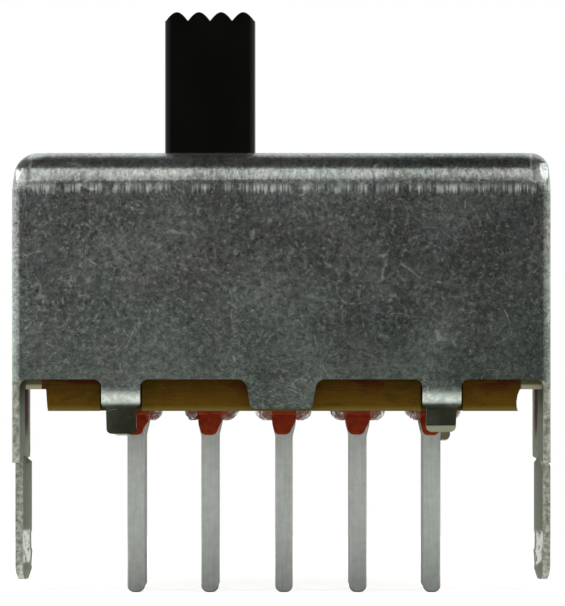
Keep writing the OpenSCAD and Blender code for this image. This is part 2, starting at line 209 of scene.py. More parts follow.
class Shader:
    """The node tree of one material or of the world."""

    def __init__(self, tree: bpy.types.NodeTree) -> None:
        """Clears a node tree and keeps it."""
        self.tree = tree
        tree.nodes.clear()

    def node(
        self,
        kind: str,
        settings: dict[str, object] | None = None,
        inputs: dict[int | str, object] | None = None,
        output: int | str = 0,
    ) -> Signal:
        """Adds a node.

        Args:
            kind: Blender's name of the node type.
            settings: The node's own settings.
            inputs: Value, colour or Signal of each input socket, by name or index.
            output: Name or index of the output that is returned.

        Returns:
            The chosen output.
        """
        made = self.tree.nodes.new(kind)
        for name, value in (settings or {}).items():
            setattr(made, name, value)
        for name, value in (inputs or {}).items():
            if isinstance(value, Signal):
                self.tree.links.new(value.socket, made.inputs[name])
            else:
                made.inputs[name].default_value = value
        return Signal(self, made.outputs[output])

    def blend(self, share: object, first: object, second: object, kind: str = "MIX") -> Signal:
        """Mixes two colours.

        Args:
            share: How much of the second colour is taken, from 0 to 1.
            first: Colour or Signal at share 0.
            second: Colour or Signal at share 1.
            kind: Blend type of the Mix node.

        Returns:
            The mixed colour.
        """
        inputs = {0: share}
        for index, colour in ((6, first), (7, second)):
            inputs[index] = colour if isinstance(colour, Signal) else (*colour, 1.0)
        settings = {"data_type": "RGBA", "blend_type": kind, "clamp_result": False}
        return self.node("ShaderNodeMix", settings, inputs, 2)

    def coats(self, colour: object, *coats: tuple[object, object]) -> Signal:
        """Lays coats over a colour one by one, each given as its share and its colour."""
        for share, coat in coats:
            colour = self.blend(share, colour, coat)
        return colour

    def millimetres(self) -> Signal:
        """Object coordinates in millimetres."""
        place = self.node("ShaderNodeTexCoord", output="Object")
        return self.node("ShaderNodeMapping", inputs={"Vector": place, "Scale": (1 / MM,) * 3})

    def axes(self, vector: Signal) -> tuple[Signal, Signal, Signal]:
        """The three components of a vector."""
        split = self.node("ShaderNodeSeparateXYZ", inputs={0: vector}).socket.node
        return tuple(Signal(self, output) for output in split.outputs)

    def noise(self, vector: Signal, scale: float, detail: float = 3.0, rough: float = 0.55,
              warp: float = 0.0) -> Signal:
        """Noise texture around 0.5.

        Args:
            vector: Place in millimetres.
            scale: Cells in a millimetre.
            detail: Octaves.
            rough: Strength of the finer octaves.
            warp: Distortion.

        Returns:
            The noise.
        """
        inputs = {"Vector": vector, "Scale": scale, "Detail": detail, "Roughness": rough,
                  "Distortion": warp}
        return self.node("ShaderNodeTexNoise", inputs=inputs)

    def streaks(self, vector: Signal, scale: Sequence[float], detail: float = 3.0,
                rough: float = 0.6, warp: float = 0.0, slant: float = 0.0) -> Signal:
        """Noise with its own scale along each axis.

        Args:
            vector: Place in millimetres.
            scale: Cells in a millimetre along X, Y and Z.
            detail: Octaves.
            rough: Strength of the finer octaves.
            warp: Distortion.
            slant: Turn about Y in degrees.

        Returns:
            The noise.
        """
        inputs = {"Vector": vector, "Scale": scale, "Rotation": (0.0, math.radians(slant), 0.0)}
        return self.noise(self.node("ShaderNodeMapping", inputs=inputs), 1.0, detail, rough, warp)

    def cells(self, vector: Signal, scale: float, warp: float) -> Signal:
        """Random tone of small grains.

        Args:
            vector: Place in millimetres.
            scale: Grains in a millimetre.
            warp: How far noise pushes their borders about, in grains.

        Returns:
            A value from 0 to 1 for each grain.
        """
        push = self.node("ShaderNodeTexNoise", inputs={"Vector": vector, "Scale": scale}, output=1)
        moved = self.node("ShaderNodeVectorMath", {"operation": "MULTIPLY_ADD"},
                          {0: push, 1: (warp / scale,) * 3, 2: vector})
        return self.node("ShaderNodeTexVoronoi", inputs={"Vector": moved, "Scale": scale}, output=1)

    def bump(self, height: Signal, strength: float, distance: float) -> Signal:
        """Normal of a height field.

        Args:
            height: Height from 0 to 1.
            strength: Share of the effect.
            distance: Depth in millimetres of a height of 1.

        Returns:
            The normal.
        """
        inputs = {"Height": height, "Strength": strength, "Distance": distance * MM}
        return self.node("ShaderNodeBump", inputs=inputs)

    def end(self, shader: Signal, kind: str = "ShaderNodeOutputMaterial") -> None:
        """Sends a shader to the output."""
        out = self.tree.nodes.new(kind)
        self.tree.links.new(shader.socket, out.inputs["Surface"])

    def surface(self, inputs: dict[str, object]) -> None:
        """Ends the material with a Principled shader that has the given sockets."""
        self.end(self.node("ShaderNodeBsdfPrincipled", inputs=inputs))


def srgb(red: float, green: float, blue: float) -> Colour:
    """Linear colour of an sRGB colour whose parts run from 0 to 255."""
    def linear(part: float) -> float:
        """One part of the colour."""
        share = part / 255
        return share / 12.92 if share <= 0.04045 else ((share + 0.055) / 1.055) ** 2.4
    return linear(red), linear(green), linear(blue)


# Finishes -------------------------------------------------------------------------------


MIXED: dict[str, bpy.types.Material] = {}


@dataclass(frozen=True)
class Finish:
    """Base of the finishes: a named material that is made once."""

    name: str

    def material(self) -> bpy.types.Material:
        """The finish as a material, made at its first use."""
        if self.name not in MIXED:
            made = bpy.data.materials.new(self.name)
            made.use_nodes = True
            shader = Shader(made.node_tree)
            self.dress(shader, shader.millimetres())
            MIXED[self.name] = made
        return MIXED[self.name]

    def dress(self, shader: Shader, place: Signal) -> None:
        """Fills the node tree. Each finish does it in its own way."""
        raise NotImplementedError


@dataclass(frozen=True)
class TinPlate(Finish):
    """Dull tin over drawn steel: mottled grey with draw lines at the top bends."""

    dark: Colour = srgb(128, 133, 128)
    light: Colour = srgb(222, 227, 222)
    # Pale colour of real flecks, scratches and scuffs, also used for painted highlights.
    worn_and_highlight: Colour = srgb(240, 244, 238)
    # Real pits and the painted shade at the corner bends share this dull colour.
    dull: Colour = srgb(96, 99, 93)
    # Painted shade on the bent-in tongues of the crimp tabs: darker and olive.
    tongue_shade: Colour = srgb(116, 116, 78)
    drawn_z: Span = (TOP_Z - 1.45, TOP_Z - 1.15)
    scuff_z: Span = (TOP_Z - 1.19, 0.26)
    smooth_z: Span = (TOP_Z - 1.05, TOP_Z - 0.85)
    even_z: Span = (5.5, 3.5)
    tab_edge: Span = (0.85, 0.72)
    tab_low: Span = (0.2, 0.5)
    tab_high: Span = (2.8, 2.2)
    tongue_low: Span = (0.2, 0.6)
    tongue_high: Span = (2.05, 1.8)
    # Height and reach of the painted highlight on the crimp tab bends.
    highlight_z: Span = (2.2, 0.3)

    def dress(self, shader: Shader, place: Signal) -> None:
        """Mottle, flecks, scratches, draw lines, a stretched skin with a painted highlight and
        painted shade at the corner bends, painted highlights on the crimp tab bends, painted shade
        on their tongues, and a face painted lighter to the left.
        """
        x, _, z = shader.axes(place)
        cloud = shader.noise(place, 0.35, 2.0)
        mottle = shader.noise(place, 4.5, 4.0, 0.65)
        grain = shader.noise(place, 13.0, 2.0, 0.6)
        chips = shader.noise(place, 3.4, 3.0, 0.75, 0.3)
        specks = shader.noise(place, 7.0, 2.0, 0.6, 0.25)
        spangle = shader.cells(place, 9.5, 0.6)
        lines = shader.streaks(place, (10.5, 10.5, 0.35), 3.0, 0.65)
        drawn, smooth = z.rise(*self.drawn_z), z.rise(*self.smooth_z)
        even = z.rise(*self.even_z) * 0.35
        tab = abs(abs(x - MIDDLE_X) - CRIMP_X).rise(*self.tab_edge)
        calm = 1 - tab * z.rise(*self.tab_high) * z.rise(*self.tab_low) * 0.8
        uneven = (0.75 - x * 0.033) * (1 - smooth * 0.7) * (1 - even) * calm
        fleck = (spangle.rise(0.84, 0.9) * mottle.rise(0.52, 0.58) * 0.6).maximum(
            chips.rise(0.6, 0.65)).maximum(specks.rise(0.61, 0.67)) * uneven
        pitted = chips.rise(0.4, 0.34).maximum(specks.rise(0.38, 0.32)) * uneven
        # The bends give a rougher stretched skin, a painted highlight and painted shade.
        stretched, crease_highlight, dark = self.bends(x, z, mottle)
        scuff = self.scuff(shader, place, z, lines)
        scratches = self.scratches(shader, place)
        tone = (mottle.swing(1.2) + grain.swing(0.8)) * (1 - (smooth * 0.45).maximum(even))
        # Painted light: the x term makes the face lighter to the left and darker to the right.
        tone = tone + cloud.swing(1.3) + spangle.swing(0.45) - x * 0.026
        tone = tone * calm + (lines - 0.5) * drawn * 1.6 + 0.43
        colour = shader.blend(tone.clamped(), self.dark, self.light)
        colour = shader.blend(1.0, colour, self.cast(shader, place, z), "MULTIPLY")
        # Painted shade: the bent-in tongues of the crimp tabs are darkened and tinted olive.
        tongue = tab * z.rise(*self.tongue_high) * z.rise(*self.tongue_low)
        # Painted highlight along the bends of the crimp tabs, broken up by the mottle.
        tab_bend_highlight = tab * z.bump_at(*self.highlight_z) * (mottle.rise(0.42, 0.62) * 0.42 + 0.08)
        # Real flecks, scratches and scuffs, with the painted highlights at the corner bends and
        # crimp tab bends.
        bright = fleck * 0.7 + scratches * 0.26 + scuff + crease_highlight * 0.7 + tab_bend_highlight
        # Coats: painted shade at the corner bends over real pits, painted shade on the tongues,
        # then real flecks, scratches and scuffs with the painted highlights.
        colour = shader.coats(colour, ((pitted * 0.6).maximum(dark), self.dull),
                              (tongue * 0.7, self.tongue_shade), (bright.minimum(1.0), self.worn_and_highlight))
        fine = mottle * 0.5 + grain * 0.4 + chips * 0.5
        height = fine * (1 - smooth * 0.6) + lines * drawn * 0.4 + cloud * 0.4
        shader.surface({
            "Base Color": colour, "Metallic": 0.95 - fleck * 0.14,
            "Roughness": 0.22 + mottle.swing(0.12) + scuff * 0.3 + scratches * 0.08
            + stretched * 0.13,
            "Normal": shader.bump(height * calm, 0.6, 0.018),
        })

    @staticmethod
    def bends(x: Signal, z: Signal, mottle: Signal) -> tuple[Signal, Signal, Signal]:
        """Marks where the top bends down to the end plates: a rougher stretched skin, a painted
        highlight along the fold line and painted shade beside it.

        Args:
            x: Place along the switch.
            z: Height.
            mottle: Noise that makes the marks uneven.

        Returns:
            The stretched skin, the painted highlight along the fold line and the painted shade
            beside it.
        """
        end = abs(x - MIDDLE_X) + mottle.swing(0.25)
        stretched = end.rise(HALF_L - 0.75, HALF_L - 0.63) * z.rise(TOP_Z - 0.75, TOP_Z - 0.5)
        # Painted highlight: a pale line along the fold line of each top corner.
        crease_highlight = end.bump_at(HALF_L - 0.65, 0.07) * z.rise(TOP_Z - 0.59, TOP_Z - 0.45)
        # Painted shade: a dark patch at the left top corner, and a dark band beside each corner
        # bend, held in gap.
        corner_shade = end.rise(HALF_L - 0.58, HALF_L - 0.5) * z.rise(TOP_Z - 0.59, TOP_Z - 0.49)
        corner_shade = corner_shade * x.rise(1.0, -1.0)
        gap = end.bump_at(HALF_L - 0.55, 0.15) * z.rise(TOP_Z - 1.05, TOP_Z - 0.9)
        gap = gap * z.rise(TOP_Z - 0.45, TOP_Z - 0.55)
        return stretched, crease_highlight, (corner_shade * 0.75).maximum(gap * 0.75)

    def scuff(self, shader: Shader, place: Signal, z: Signal, lines: Signal) -> Signal:
        """Broken pale band that the draw die left along the walls, below the bends."""
        wide = shader.streaks(place, (3.0, 3.0, 0.8), 2.0, 0.55)
        band = (z + lines.swing(0.5)).bump_at(*self.scuff_z)
        return band * (lines.rise(0.4, 0.6) * 0.6 + 0.3) * wide.rise(0.3, 0.6)

    @staticmethod
    def scratches(shader: Shader, place: Signal) -> Signal:
        """Short curved hairlines."""
        total = None
        for scale, size, shift in ((0.45, 1.3, 0.0), (0.8, 1.7, 31.0)):
            moved = shader.node("ShaderNodeMapping",
                                inputs={"Vector": place, "Location": (shift,) * 3})
            path = shader.noise(moved, scale, 0.0)
            shown = shader.noise(moved, size, 1.0).rise(0.56, 0.62)
            hairline = abs(path - 0.5).rise(0.009, 0.002) * shown
            total = hairline if total is None else total.maximum(hairline)
        return total

    @staticmethod
    def cast(shader: Shader, place: Signal, height: Signal) -> Signal:
        """Faint changes of hue: green low down, with brown and blue clouds."""
        warm = shader.noise(place, 0.55, 2.0)
        cold = shader.noise(place, 0.9, 2.0)
        low = height.rise(7.5, 3.0) * height.rise(0.4, 1.8) * 0.9
        green = shader.blend(low, (1.0, 1.0, 1.0), (0.92, 1.0, 0.94))
        hue = shader.coats((0.965, 1.01, 0.975), (warm.rise(0.42, 0.62), (1.02, 0.99, 0.98)),
                           (cold.rise(0.55, 0.7), (0.98, 0.995, 1.02)))
        return shader.blend(1.0, green, hue, "MULTIPLY")


@dataclass(frozen=True)
class ShearedSteel(Finish):
    """Punched and sheared edges: bright, with streaks across the sheet."""

    dark: Colour = srgb(126, 132, 118)
    light: Colour = srgb(208, 211, 198)
    rust: Colour = srgb(128, 104, 84)

    def dress(self, shader: Shader, place: Signal) -> None:
        """Shear streaks with a warm cast."""
        streak = shader.streaks(place, (7.0, 1.5, 7.0))
        stain = shader.noise(place, 1.3, 3.0)
        colour = shader.coats(self.dark, ((streak.swing(3.0) + 0.45).clamped(), self.light),
                              (stain.rise(0.55, 0.72) * 0.5, self.rust))
        shader.surface({
            "Base Color": colour, "Metallic": 0.75, "Roughness": 0.45 + stain.swing(0.2),
            "Normal": shader.bump(streak, 0.7, 0.03),
        })


@dataclass(frozen=True)
class DullInside(Finish):
    """The unwiped inside of the drawn steel: matt, with stains, but bright where it was coined."""

    dark: Colour = srgb(84, 98, 72)
    light: Colour = srgb(146, 156, 130)
    brown: Colour = srgb(126, 96, 74)
    lower: Colour = srgb(160, 164, 152)
    resin: Colour = srgb(96, 36, 26)
    coin: Colour = srgb(222, 225, 216)
    # Pale colour of the painted light on the tongues of the crimp tabs.
    tongue_light_colour: Colour = srgb(190, 196, 164)
    lower_z: Span = (0.2, -0.4)
    run_y: float = 1.4
    run_edge: Span = (1.5, 0.6)
    run_low: Span = (0.5, 1.4)
    coin_high: Span = (-2.45, -2.6)
    coin_low: Span = (-3.7, -3.55)
    coin_y: Span = (0.35, 0.6)
    tongue_light_high: Span = (1.4, 1.1)
    tongue_light_low: Span = (0.0, 0.3)
    tongue_light_x: Span = (7.0, 6.8)

    def dress(self, shader: Shader, place: Signal) -> None:
        """Grey-green mottle, stains, a run of resin, coined legs and painted light on the tongues
        of the crimp tabs.
        """
        x, y, z = shader.axes(place)
        mottle = shader.noise(place, 3.5, 4.0, 0.65)
        stain = shader.noise(place, 0.9, 3.0)
        run = abs(y - self.run_y + stain.swing(2.0)).rise(*self.run_edge)
        run = run * (z + mottle.swing(1.8) + stain.swing(1.5)).rise(*self.run_low)
        level = z + stain.swing(0.5) - abs(y) * 0.1
        coined = level.rise(*self.coin_high) * level.rise(*self.coin_low)
        coined = coined * abs(y).rise(*self.coin_y) * mottle.rise(0.38, 0.48)
        # Painted light: the lower tongues are made pale and less metallic, standing in for the
        # light they catch.
        tongue_light = z.rise(*self.tongue_light_high) * z.rise(*self.tongue_light_low) * abs(x).rise(*self.tongue_light_x)
        colour = shader.coats(
            self.dark, ((mottle.swing(2.2) + 0.5).clamped(), self.light),
            (stain.rise(0.5, 0.66) * 0.35, self.brown), (z.rise(*self.lower_z) * 0.5, self.lower),
            (run, self.resin), (coined, self.coin), (tongue_light * 0.9, self.tongue_light_colour))
        shader.surface({
            "Base Color": colour, "Metallic": 0.7 - run * 0.6 + coined * 0.25 - tongue_light * 0.4,
            "Roughness": 0.62 + mottle.swing(0.2) + run * 0.25 - coined * 0.3,
            "Specular IOR Level": 0.1, "Normal": shader.bump(mottle, 0.6, 0.03),
        })


@dataclass(frozen=True)
class BlackMoulding(Finish):
    """Black moulded thermoplastic with a fine spark texture."""

    dark: Colour = (0.001, 0.001, 0.0005)
    light: Colour = (0.002, 0.0019, 0.0012)

    def dress(self, shader: Shader, place: Signal) -> None:
        """Fine grain, faint flow marks."""
        grain = shader.noise(place, 14.0, 3.0, 0.6)
        flow = shader.streaks(place, (1.2, 1.2, 0.5), 2.0, 0.55)
        shader.surface({
            "Base Color": shader.blend(flow.rise(0.4, 0.7), self.dark, self.light),
            "Roughness": 0.2 + grain.swing(0.08) + flow.swing(0.08), "Specular IOR Level": 0.36,
            "Normal": shader.bump(grain, 0.2, 0.004),
        })


@dataclass(frozen=True)
class Laminate(Finish):
    """Brown phenolic paper: layered at its sheared edges, mottled on its faces."""

    low: float = BASE_BOX.low.z
    rim_z: Span = (2.6, 2.7)
    red_z: Span = (2.2, 2.8)
    board_end: float = 8.12
    # Painted shade: upper is the face's colour near the top, in the shade of the frame's walls;
    # lower is its colour near the foot.
    upper: Colour = srgb(68, 42, 6)
    lower: Colour = srgb(98, 72, 12)
    paper: Colour = srgb(112, 84, 20)
    red: Colour = srgb(76, 30, 12)
    green: Colour = srgb(66, 54, 6)
    strand: Colour = srgb(134, 98, 26)
    pit: Colour = srgb(38, 24, 6)
    edge: Colour = srgb(140, 124, 66)
    # Ends of the rim: pale at the foot, with painted shade above.
    rim_end_pale: Colour = srgb(196, 190, 158)
    rim_end_shade: Colour = srgb(104, 106, 74)

    def dress(self, shader: Shader, place: Signal) -> None:
        """Paper layers along the height, resin mottle, torn fibres, painted shade towards the top
        under the frame's walls, and rim ends pale below with painted shade above.
        """
        x, _, z = shader.axes(place)
        layers = shader.streaks(place, (0.9, 0.9, 16.0))
        mottle = shader.noise(place, 3.0, 4.0, 0.6)
        fibre = shader.streaks(place, (1.5, 1.5, 9.0), 4.0, 0.7)
        drift = shader.streaks(place, (0.7, 0.7, 1.6), warp=0.6)
        strands = shader.streaks(place, (2.0, 2.0, 14.0), rough=0.7, slant=28)
        pits = shader.noise(place, 7.0, 3.0, 0.7)
        # Painted shade: the face darkens upwards from its foot towards the frame's walls.
        colour = shader.coats(
            self.upper, (z.rise(self.rim_z[0], self.low), self.lower),
            ((layers.swing(1.3) + mottle.swing(0.7) + 0.5).clamped() * 0.6, self.paper),
            (drift.rise(0.52, 0.62) * z.rise(*self.red_z) * 0.85, self.red),
            (drift.rise(0.46, 0.38) * 0.5, self.green),
            (strands.rise(0.6, 0.72) * 0.5, self.strand),
            (pits.rise(0.6, 0.7) * 0.5, self.pit),
            (z.rise(self.low + 0.22, self.low + 0.02) * 0.6, self.edge),
            # Painted shade on the rim's ends, above a pale foot.
            (abs(x - MIDDLE_X).rise(self.board_end, self.board_end + 0.05),
             shader.blend(z.rise(*self.rim_z), self.rim_end_pale, self.rim_end_shade)))
        shader.surface({
            "Base Color": colour, "Roughness": 0.5 + mottle.swing(0.2), "Specular IOR Level": 0.06,
            "Normal": shader.bump(layers * 0.6 + fibre * 0.6, 0.6, 0.03),
        })


@dataclass(frozen=True)
class TerminalPlate(Finish):
    """Matt tin on the terminals, with stamping lines down the blades."""

    dark: Colour = srgb(186, 191, 185)
    light: Colour = srgb(220, 225, 218)

    def dress(self, shader: Shader, place: Signal) -> None:
        """Soft mottle and lengthwise lines."""
        lines = shader.streaks(place, (11.0, 11.0, 0.5))
        mottle = shader.noise(place, 4.0, 4.0, 0.6)
        share = (lines.swing(0.9) + mottle.swing(1.1) + 0.5).clamped()
        shader.surface({
            "Base Color": shader.blend(share, self.dark, self.light), "Metallic": 0.85,
            "Roughness": 0.5 + mottle.swing(0.2),
            "Normal": shader.bump(lines * 0.6 + mottle * 0.5, 0.4, 0.015),
        })


@dataclass(frozen=True)
class Resin(Finish):
    """Potting resin: dark red where it is thick on a shank, cloudy and flecked where thin."""

    low: float = BASE_BOX.low.z - 0.9
    foot: float = BASE_BOX.low.z - 0.4
    shank: Span = (0.46, 0.42)
    clear: Colour = srgb(240, 224, 212)
    flecked: Colour = srgb(158, 72, 62)
    deep: Colour = srgb(142, 42, 10)
    bright: Colour = srgb(176, 62, 18)
    tip: Colour = srgb(200, 92, 36)

    def dress(self, shader: Shader, place: Signal) -> None:
        """Red round each shank, clear with red flecks away from it."""
        x, _, z = shader.axes(place)
        local = shader.node("ShaderNodeMath", {"operation": "PINGPONG"}, {0: x, 1: PITCH / 2})
        cloud = shader.noise(place, 2.2, 3.0)
        flecks = shader.noise(place, 5.0, 3.0, 0.65, 0.3)
        thick = shader.noise(place, 4.0, 3.0)
        red = (local + cloud.swing(0.1)).rise(*self.shank)
        red = red.maximum(z.rise(self.foot + 0.06, self.foot - 0.06))
        fleck = (flecks + local.bump_at(0.6, 0.4) * 0.08).rise(0.42, 0.68)
        deep = shader.coats(self.deep, (thick.rise(0.3, 0.7), self.bright),
                            (z.rise(self.low + 0.16, self.low - 0.02) * 0.6, self.tip))
        shader.surface({
            "Base Color": shader.coats(self.clear, (fleck, self.flecked), (red, deep)),
            "Roughness": 0.34 + cloud.swing(0.2), "Specular IOR Level": 0.2,
            "Alpha": (red + fleck * 0.8 + 0.1).minimum(1.0),
            "Normal": shader.bump(cloud, 0.4, 0.03),
        })


@dataclass(frozen=True)
class BrightMetal(Finish):
    """Clean rolled or drawn metal of one colour, with fine lines."""

    colour: Colour
    rough: float
    lines: Sequence[float] = (3.0, 12.0, 12.0)
    dulling: float = 0.62

    def dress(self, shader: Shader, place: Signal) -> None:
        """Fine lines and a faint tarnish."""
        lines = shader.streaks(place, self.lines)
        tarnish = shader.noise(place, 1.5, 3.0)
        dull = tuple(part * self.dulling for part in self.colour)
        shader.surface({
            "Base Color": shader.blend(tarnish.rise(0.45, 0.75) * 0.6, self.colour, dull),
            "Metallic": 1.0, "Roughness": self.rough + tarnish.swing(0.15) + lines.swing(0.1),
            "Normal": shader.bump(lines, 0.2, 0.006),
        })


TIN = TinPlate("tin_plate")
SHEARED = ShearedSteel("sheared_steel")
INSIDE = DullInside("dull_inside")
BLACK = BlackMoulding("moulded_black")
LAMINATE = Laminate("laminate")
TERMINAL = TerminalPlate("terminal_tin")
RESIN = Resin("potting_resin")
BRASS = BrightMetal("spring_brass_sheet", srgb(205, 168, 104), 0.3)
BALL = BrightMetal("ball_bearing_steel", srgb(196, 198, 200), 0.12, (6.0, 6.0, 6.0))
WIRE = BrightMetal("music_wire", srgb(186, 186, 190), 0.28, (8.0, 8.0, 8.0))


# Bench ----------------------------------------------------------------------------------


class Part(Enum):
    """What is picked in edit mode."""

    VERTS = "VERT"
    EDGES = "EDGE"
    FACES = "FACE"

    def listed(self, mesh: bmesh.types.BMesh) -> list[tuple]:
        """Every part of a mesh, with its middle and its normal, or for an edge its direction."""
        if self is Part.VERTS:
            return [(v, v.co, v.normal) for v in mesh.verts]
        if self is Part.FACES:
            return [(f, f.calc_center_median(), f.normal) for f in mesh.faces]
        ends = [(e, e.verts[0].co, e.verts[1].co) for e in mesh.edges]
        return [(e, (first + last) / 2, (last - first).normalized()) for e, first, last in ends]


def clear_picks() -> None:
    """Deselects every object."""
    for item in bpy.context.view_layer.objects:
        item.select_set(False)


def everywhere(place: Vector, direction: Vector) -> bool:
    """Test that picks every part."""
    return True


def along(axis: str, where: Where) -> Test:
    """Test for edges or faces whose direction or normal follows an axis, at certain places."""
    index = "XYZ".index(axis)
    return lambda place, direction: abs(direction[index]) > ALIGNED and where(place)


@dataclass
class Workpiece:
    """A mesh on the bench, in millimetres. Operators shape it."""

    obj: bpy.types.Object

    @classmethod
    def block(cls, low: Sequence[float], high: Sequence[float]) -> "Workpiece":
        """A block between two corners."""
        low, high = Vector(low), Vector(high)
        clear_picks()
        bpy.ops.mesh.primitive_cube_add(size=1, location=(low + high) / 2, scale=high - low)
        return cls._placed()

    @classmethod
    def bar(cls, middle: Span, size: Span, low_z: float, high_z: float) -> "Workpiece":
        """An upright block round a place (x, y), of a size along X and Y, between two heights."""
        (x, y), (half_x, half_y) = middle, (size[0] / 2, size[1] / 2)
        return cls.block((x - half_x, y - half_y, low_z), (x + half_x, y + half_y, high_z))

    @classmethod
    def cylinder(cls, radius: float, low: Sequence[float], length: float, axis: str = "Z",
                 sides: int = 48) -> "Workpiece":
        """A cylinder.

        Args:
            radius: Its radius.
            low: Middle of its first end.
            length: Its length along the axis.
            axis: X, Y or Z.
            sides: Number of faces round it.

        Returns:
            The cylinder.
        """
        way = Vector([float(axis == a) for a in "XYZ"])
        turns = {"X": (0, math.pi / 2, 0), "Y": (math.pi / 2, 0, 0), "Z": (0, 0, 0)}
        clear_picks()
        bpy.ops.mesh.primitive_cylinder_add(
            vertices=sides, radius=radius, depth=length,
            location=Vector(low) + way * length / 2, rotation=turns[axis],
        )
        return cls._placed()

    @classmethod
    def ball(cls, radius: float, centre: Sequence[float]) -> "Workpiece":
        """A round ball."""
        clear_picks()
        bpy.ops.mesh.primitive_ico_sphere_add(subdivisions=5, radius=radius, location=centre)
        return cls._placed()

    @classmethod
    def ring(cls, radius: float, centre: Sequence[float], sides: int) -> "Workpiece":
        """An open circle in the XZ plane."""
        clear_picks()
        bpy.ops.mesh.primitive_circle_add(
            vertices=sides, radius=radius, location=centre, rotation=(math.pi / 2, 0, 0)
        )
        return cls._placed()

    @classmethod
    def _placed(cls) -> "Workpiece":
        """The new primitive, with its place in its mesh."""
        bpy.ops.object.transform_apply(location=True, rotation=True, scale=True)
        return cls(bpy.context.view_layer.objects.active)

    def copy(self) -> "Workpiece":
        """A copy with a mesh of its own."""
        twin = self.obj.copy()
        twin.data = self.obj.data.copy()
        bpy.context.scene.collection.objects.link(twin)
        return Workpiece(twin)

    def activate(self) -> None:
        """Makes this the only selected object."""
        clear_picks()
        self.obj.select_set(True)
        bpy.context.view_layer.objects.active = self.obj

    @contextmanager
    def opened(self, part: Part, choose: Callable[[bmesh.types.BMesh], list]) -> Iterator[int]:
        """Opens edit mode with some parts selected.

        Args:
            part: What is picked.
            choose: Called with the mesh. It returns the parts to pick.

        Yields:
            The number of parts picked.
        """
        self.activate()
        bpy.ops.object.mode_set(mode="EDIT")
        bpy.ops.mesh.select_mode(type=part.value)
        bpy.ops.mesh.select_all(action="DESELECT")
        mesh = bmesh.from_edit_mesh(self.obj.data)
        chosen = choose(mesh)
        for element in chosen:
            element.select_set(True)
        mesh.select_flush_mode()
        bmesh.update_edit_mesh(self.obj.data)
        try:
            yield len(chosen)
        finally:
            bpy.ops.object.mode_set(mode="OBJECT")

    def picked(self, part: Part, test: Test) -> ContextManager[int]:
        """Opens edit mode with the parts selected that pass a test of place and direction."""
        return self.opened(part, lambda mesh: [
            element for element, place, way in part.listed(mesh) if test(place, way)])

    def move(self, where: Where, shift: Sequence[float]) -> None:
        """Moves the corners at certain places."""
        with self.picked(Part.VERTS, lambda place, normal: where(place)) as count:
            if count:
                bpy.ops.transform.translate(value=shift)

    def shift(self, way: Sequence[float]) -> None:
        """Moves the whole mesh."""
        self.move(lambda place: True, way)

    def resize(self, where: Where, scale: Sequence[float], about: Sequence[float]) -> None:
        """Scales the corners at certain places about a point."""
        with self.picked(Part.VERTS, lambda place, normal: where(place)) as count:
            if count:
                bpy.ops.transform.resize(value=scale, center_override=about)

    def extrude(self, test: Test, shift: Sequence[float], scale: Sequence[float],
                about: Sequence[float]) -> None:
        """Extrudes the chosen faces, and scales their new ring about a point."""
        with self.picked(Part.FACES, test):
            bpy.ops.mesh.extrude_region_move(TRANSFORM_OT_translate={"value": shift})
            bpy.ops.transform.resize(value=scale, center_override=about)

    def round_edges(self, axis: str, where: Where, radius: float, steps: int = 5) -> None:
        """Rounds the edges that follow an axis, at certain places."""
        with self.picked(Part.EDGES, along(axis, where)) as count:
            if count:
                bpy.ops.mesh.bevel(offset=radius, segments=steps, affect="EDGES")

    def slice(self, axis: str, level: float, near: Test = everywhere) -> None:
        """Cuts a row of edges where a plane across an axis meets the chosen faces."""
        normal = Vector([float(axis == a) for a in "XYZ"])
        with self.picked(Part.FACES, near) as count:
            if count:
                bpy.ops.mesh.bisect(plane_co=normal * level, plane_no=normal)

    def trim(self, point: Sequence[float], normal: Sequence[float]) -> None:
        """Cuts off what lies beyond a plane and closes the cut."""
        with self.picked(Part.FACES, everywhere):
            bpy.ops.mesh.bisect(plane_co=point, plane_no=normal, clear_outer=True, use_fill=True)

    def modify(self, kind: str, **settings: object) -> None:
        """Adds a modifier with its settings and applies it."""
        self.activate()
        made = self.obj.modifiers.new(kind.lower(), kind)
        for name, value in settings.items():
            setattr(made, name, value)
        bpy.ops.object.modifier_apply(modifier=made.name)

    def _combine(self, tool: "Workpiece", operation: str) -> "Workpiece":
        """Applies a Boolean with a tool, and throws the tool away."""
        self.modify("BOOLEAN", operation=operation, object=tool.obj, solver="EXACT",
                    material_mode="TRANSFER")
        bpy.data.objects.remove(tool.obj)
        return self

    def cut(self, tool: "Workpiece") -> "Workpiece":
        """Takes the tool away."""
        return self._combine(tool, "DIFFERENCE")

    def join(self, tool: "Workpiece") -> "Workpiece":
        """Adds the tool."""
        return self._combine(tool, "UNION")

    def keep(self, tool: "Workpiece") -> "Workpiece":
        """Keeps what lies inside the tool."""
        return self._combine(tool, "INTERSECT")

    def gather(self, others: Sequence["Workpiece"]) -> "Workpiece":
        """Joins other meshes into this one without a Boolean."""
        clear_picks()
        for other in others:
            other.obj.select_set(True)
        self.obj.select_set(True)
        bpy.context.view_layer.objects.active = self.obj
        bpy.ops.object.join()
        return self

    def tidy(self, reach: float = 1e-4) -> "Workpiece":
        """Merges doubles and turns the faces outwards."""
        with self.picked(Part.FACES, everywhere):
            bpy.ops.mesh.remove_doubles(threshold=reach)
            bpy.ops.mesh.normals_make_consistent(inside=False)
        return self

    def thicken(self) -> None:
        """Gives a skin the sheet's thickness inwards, with sheared rims and a dull inside."""
        self.dress(TIN, SHEARED, INSIDE)
        self.modify("SOLIDIFY", thickness=SHEET, offset=-1, use_even_offset=True,
                    material_offset_rim=1, material_offset=2)

    def dress(self, *finishes: Finish) -> "Workpiece":
        """Gives the mesh its material slots."""
        self.obj.data.materials.clear()
        for finish in finishes:
            self.obj.data.materials.append(finish.material())
        return self

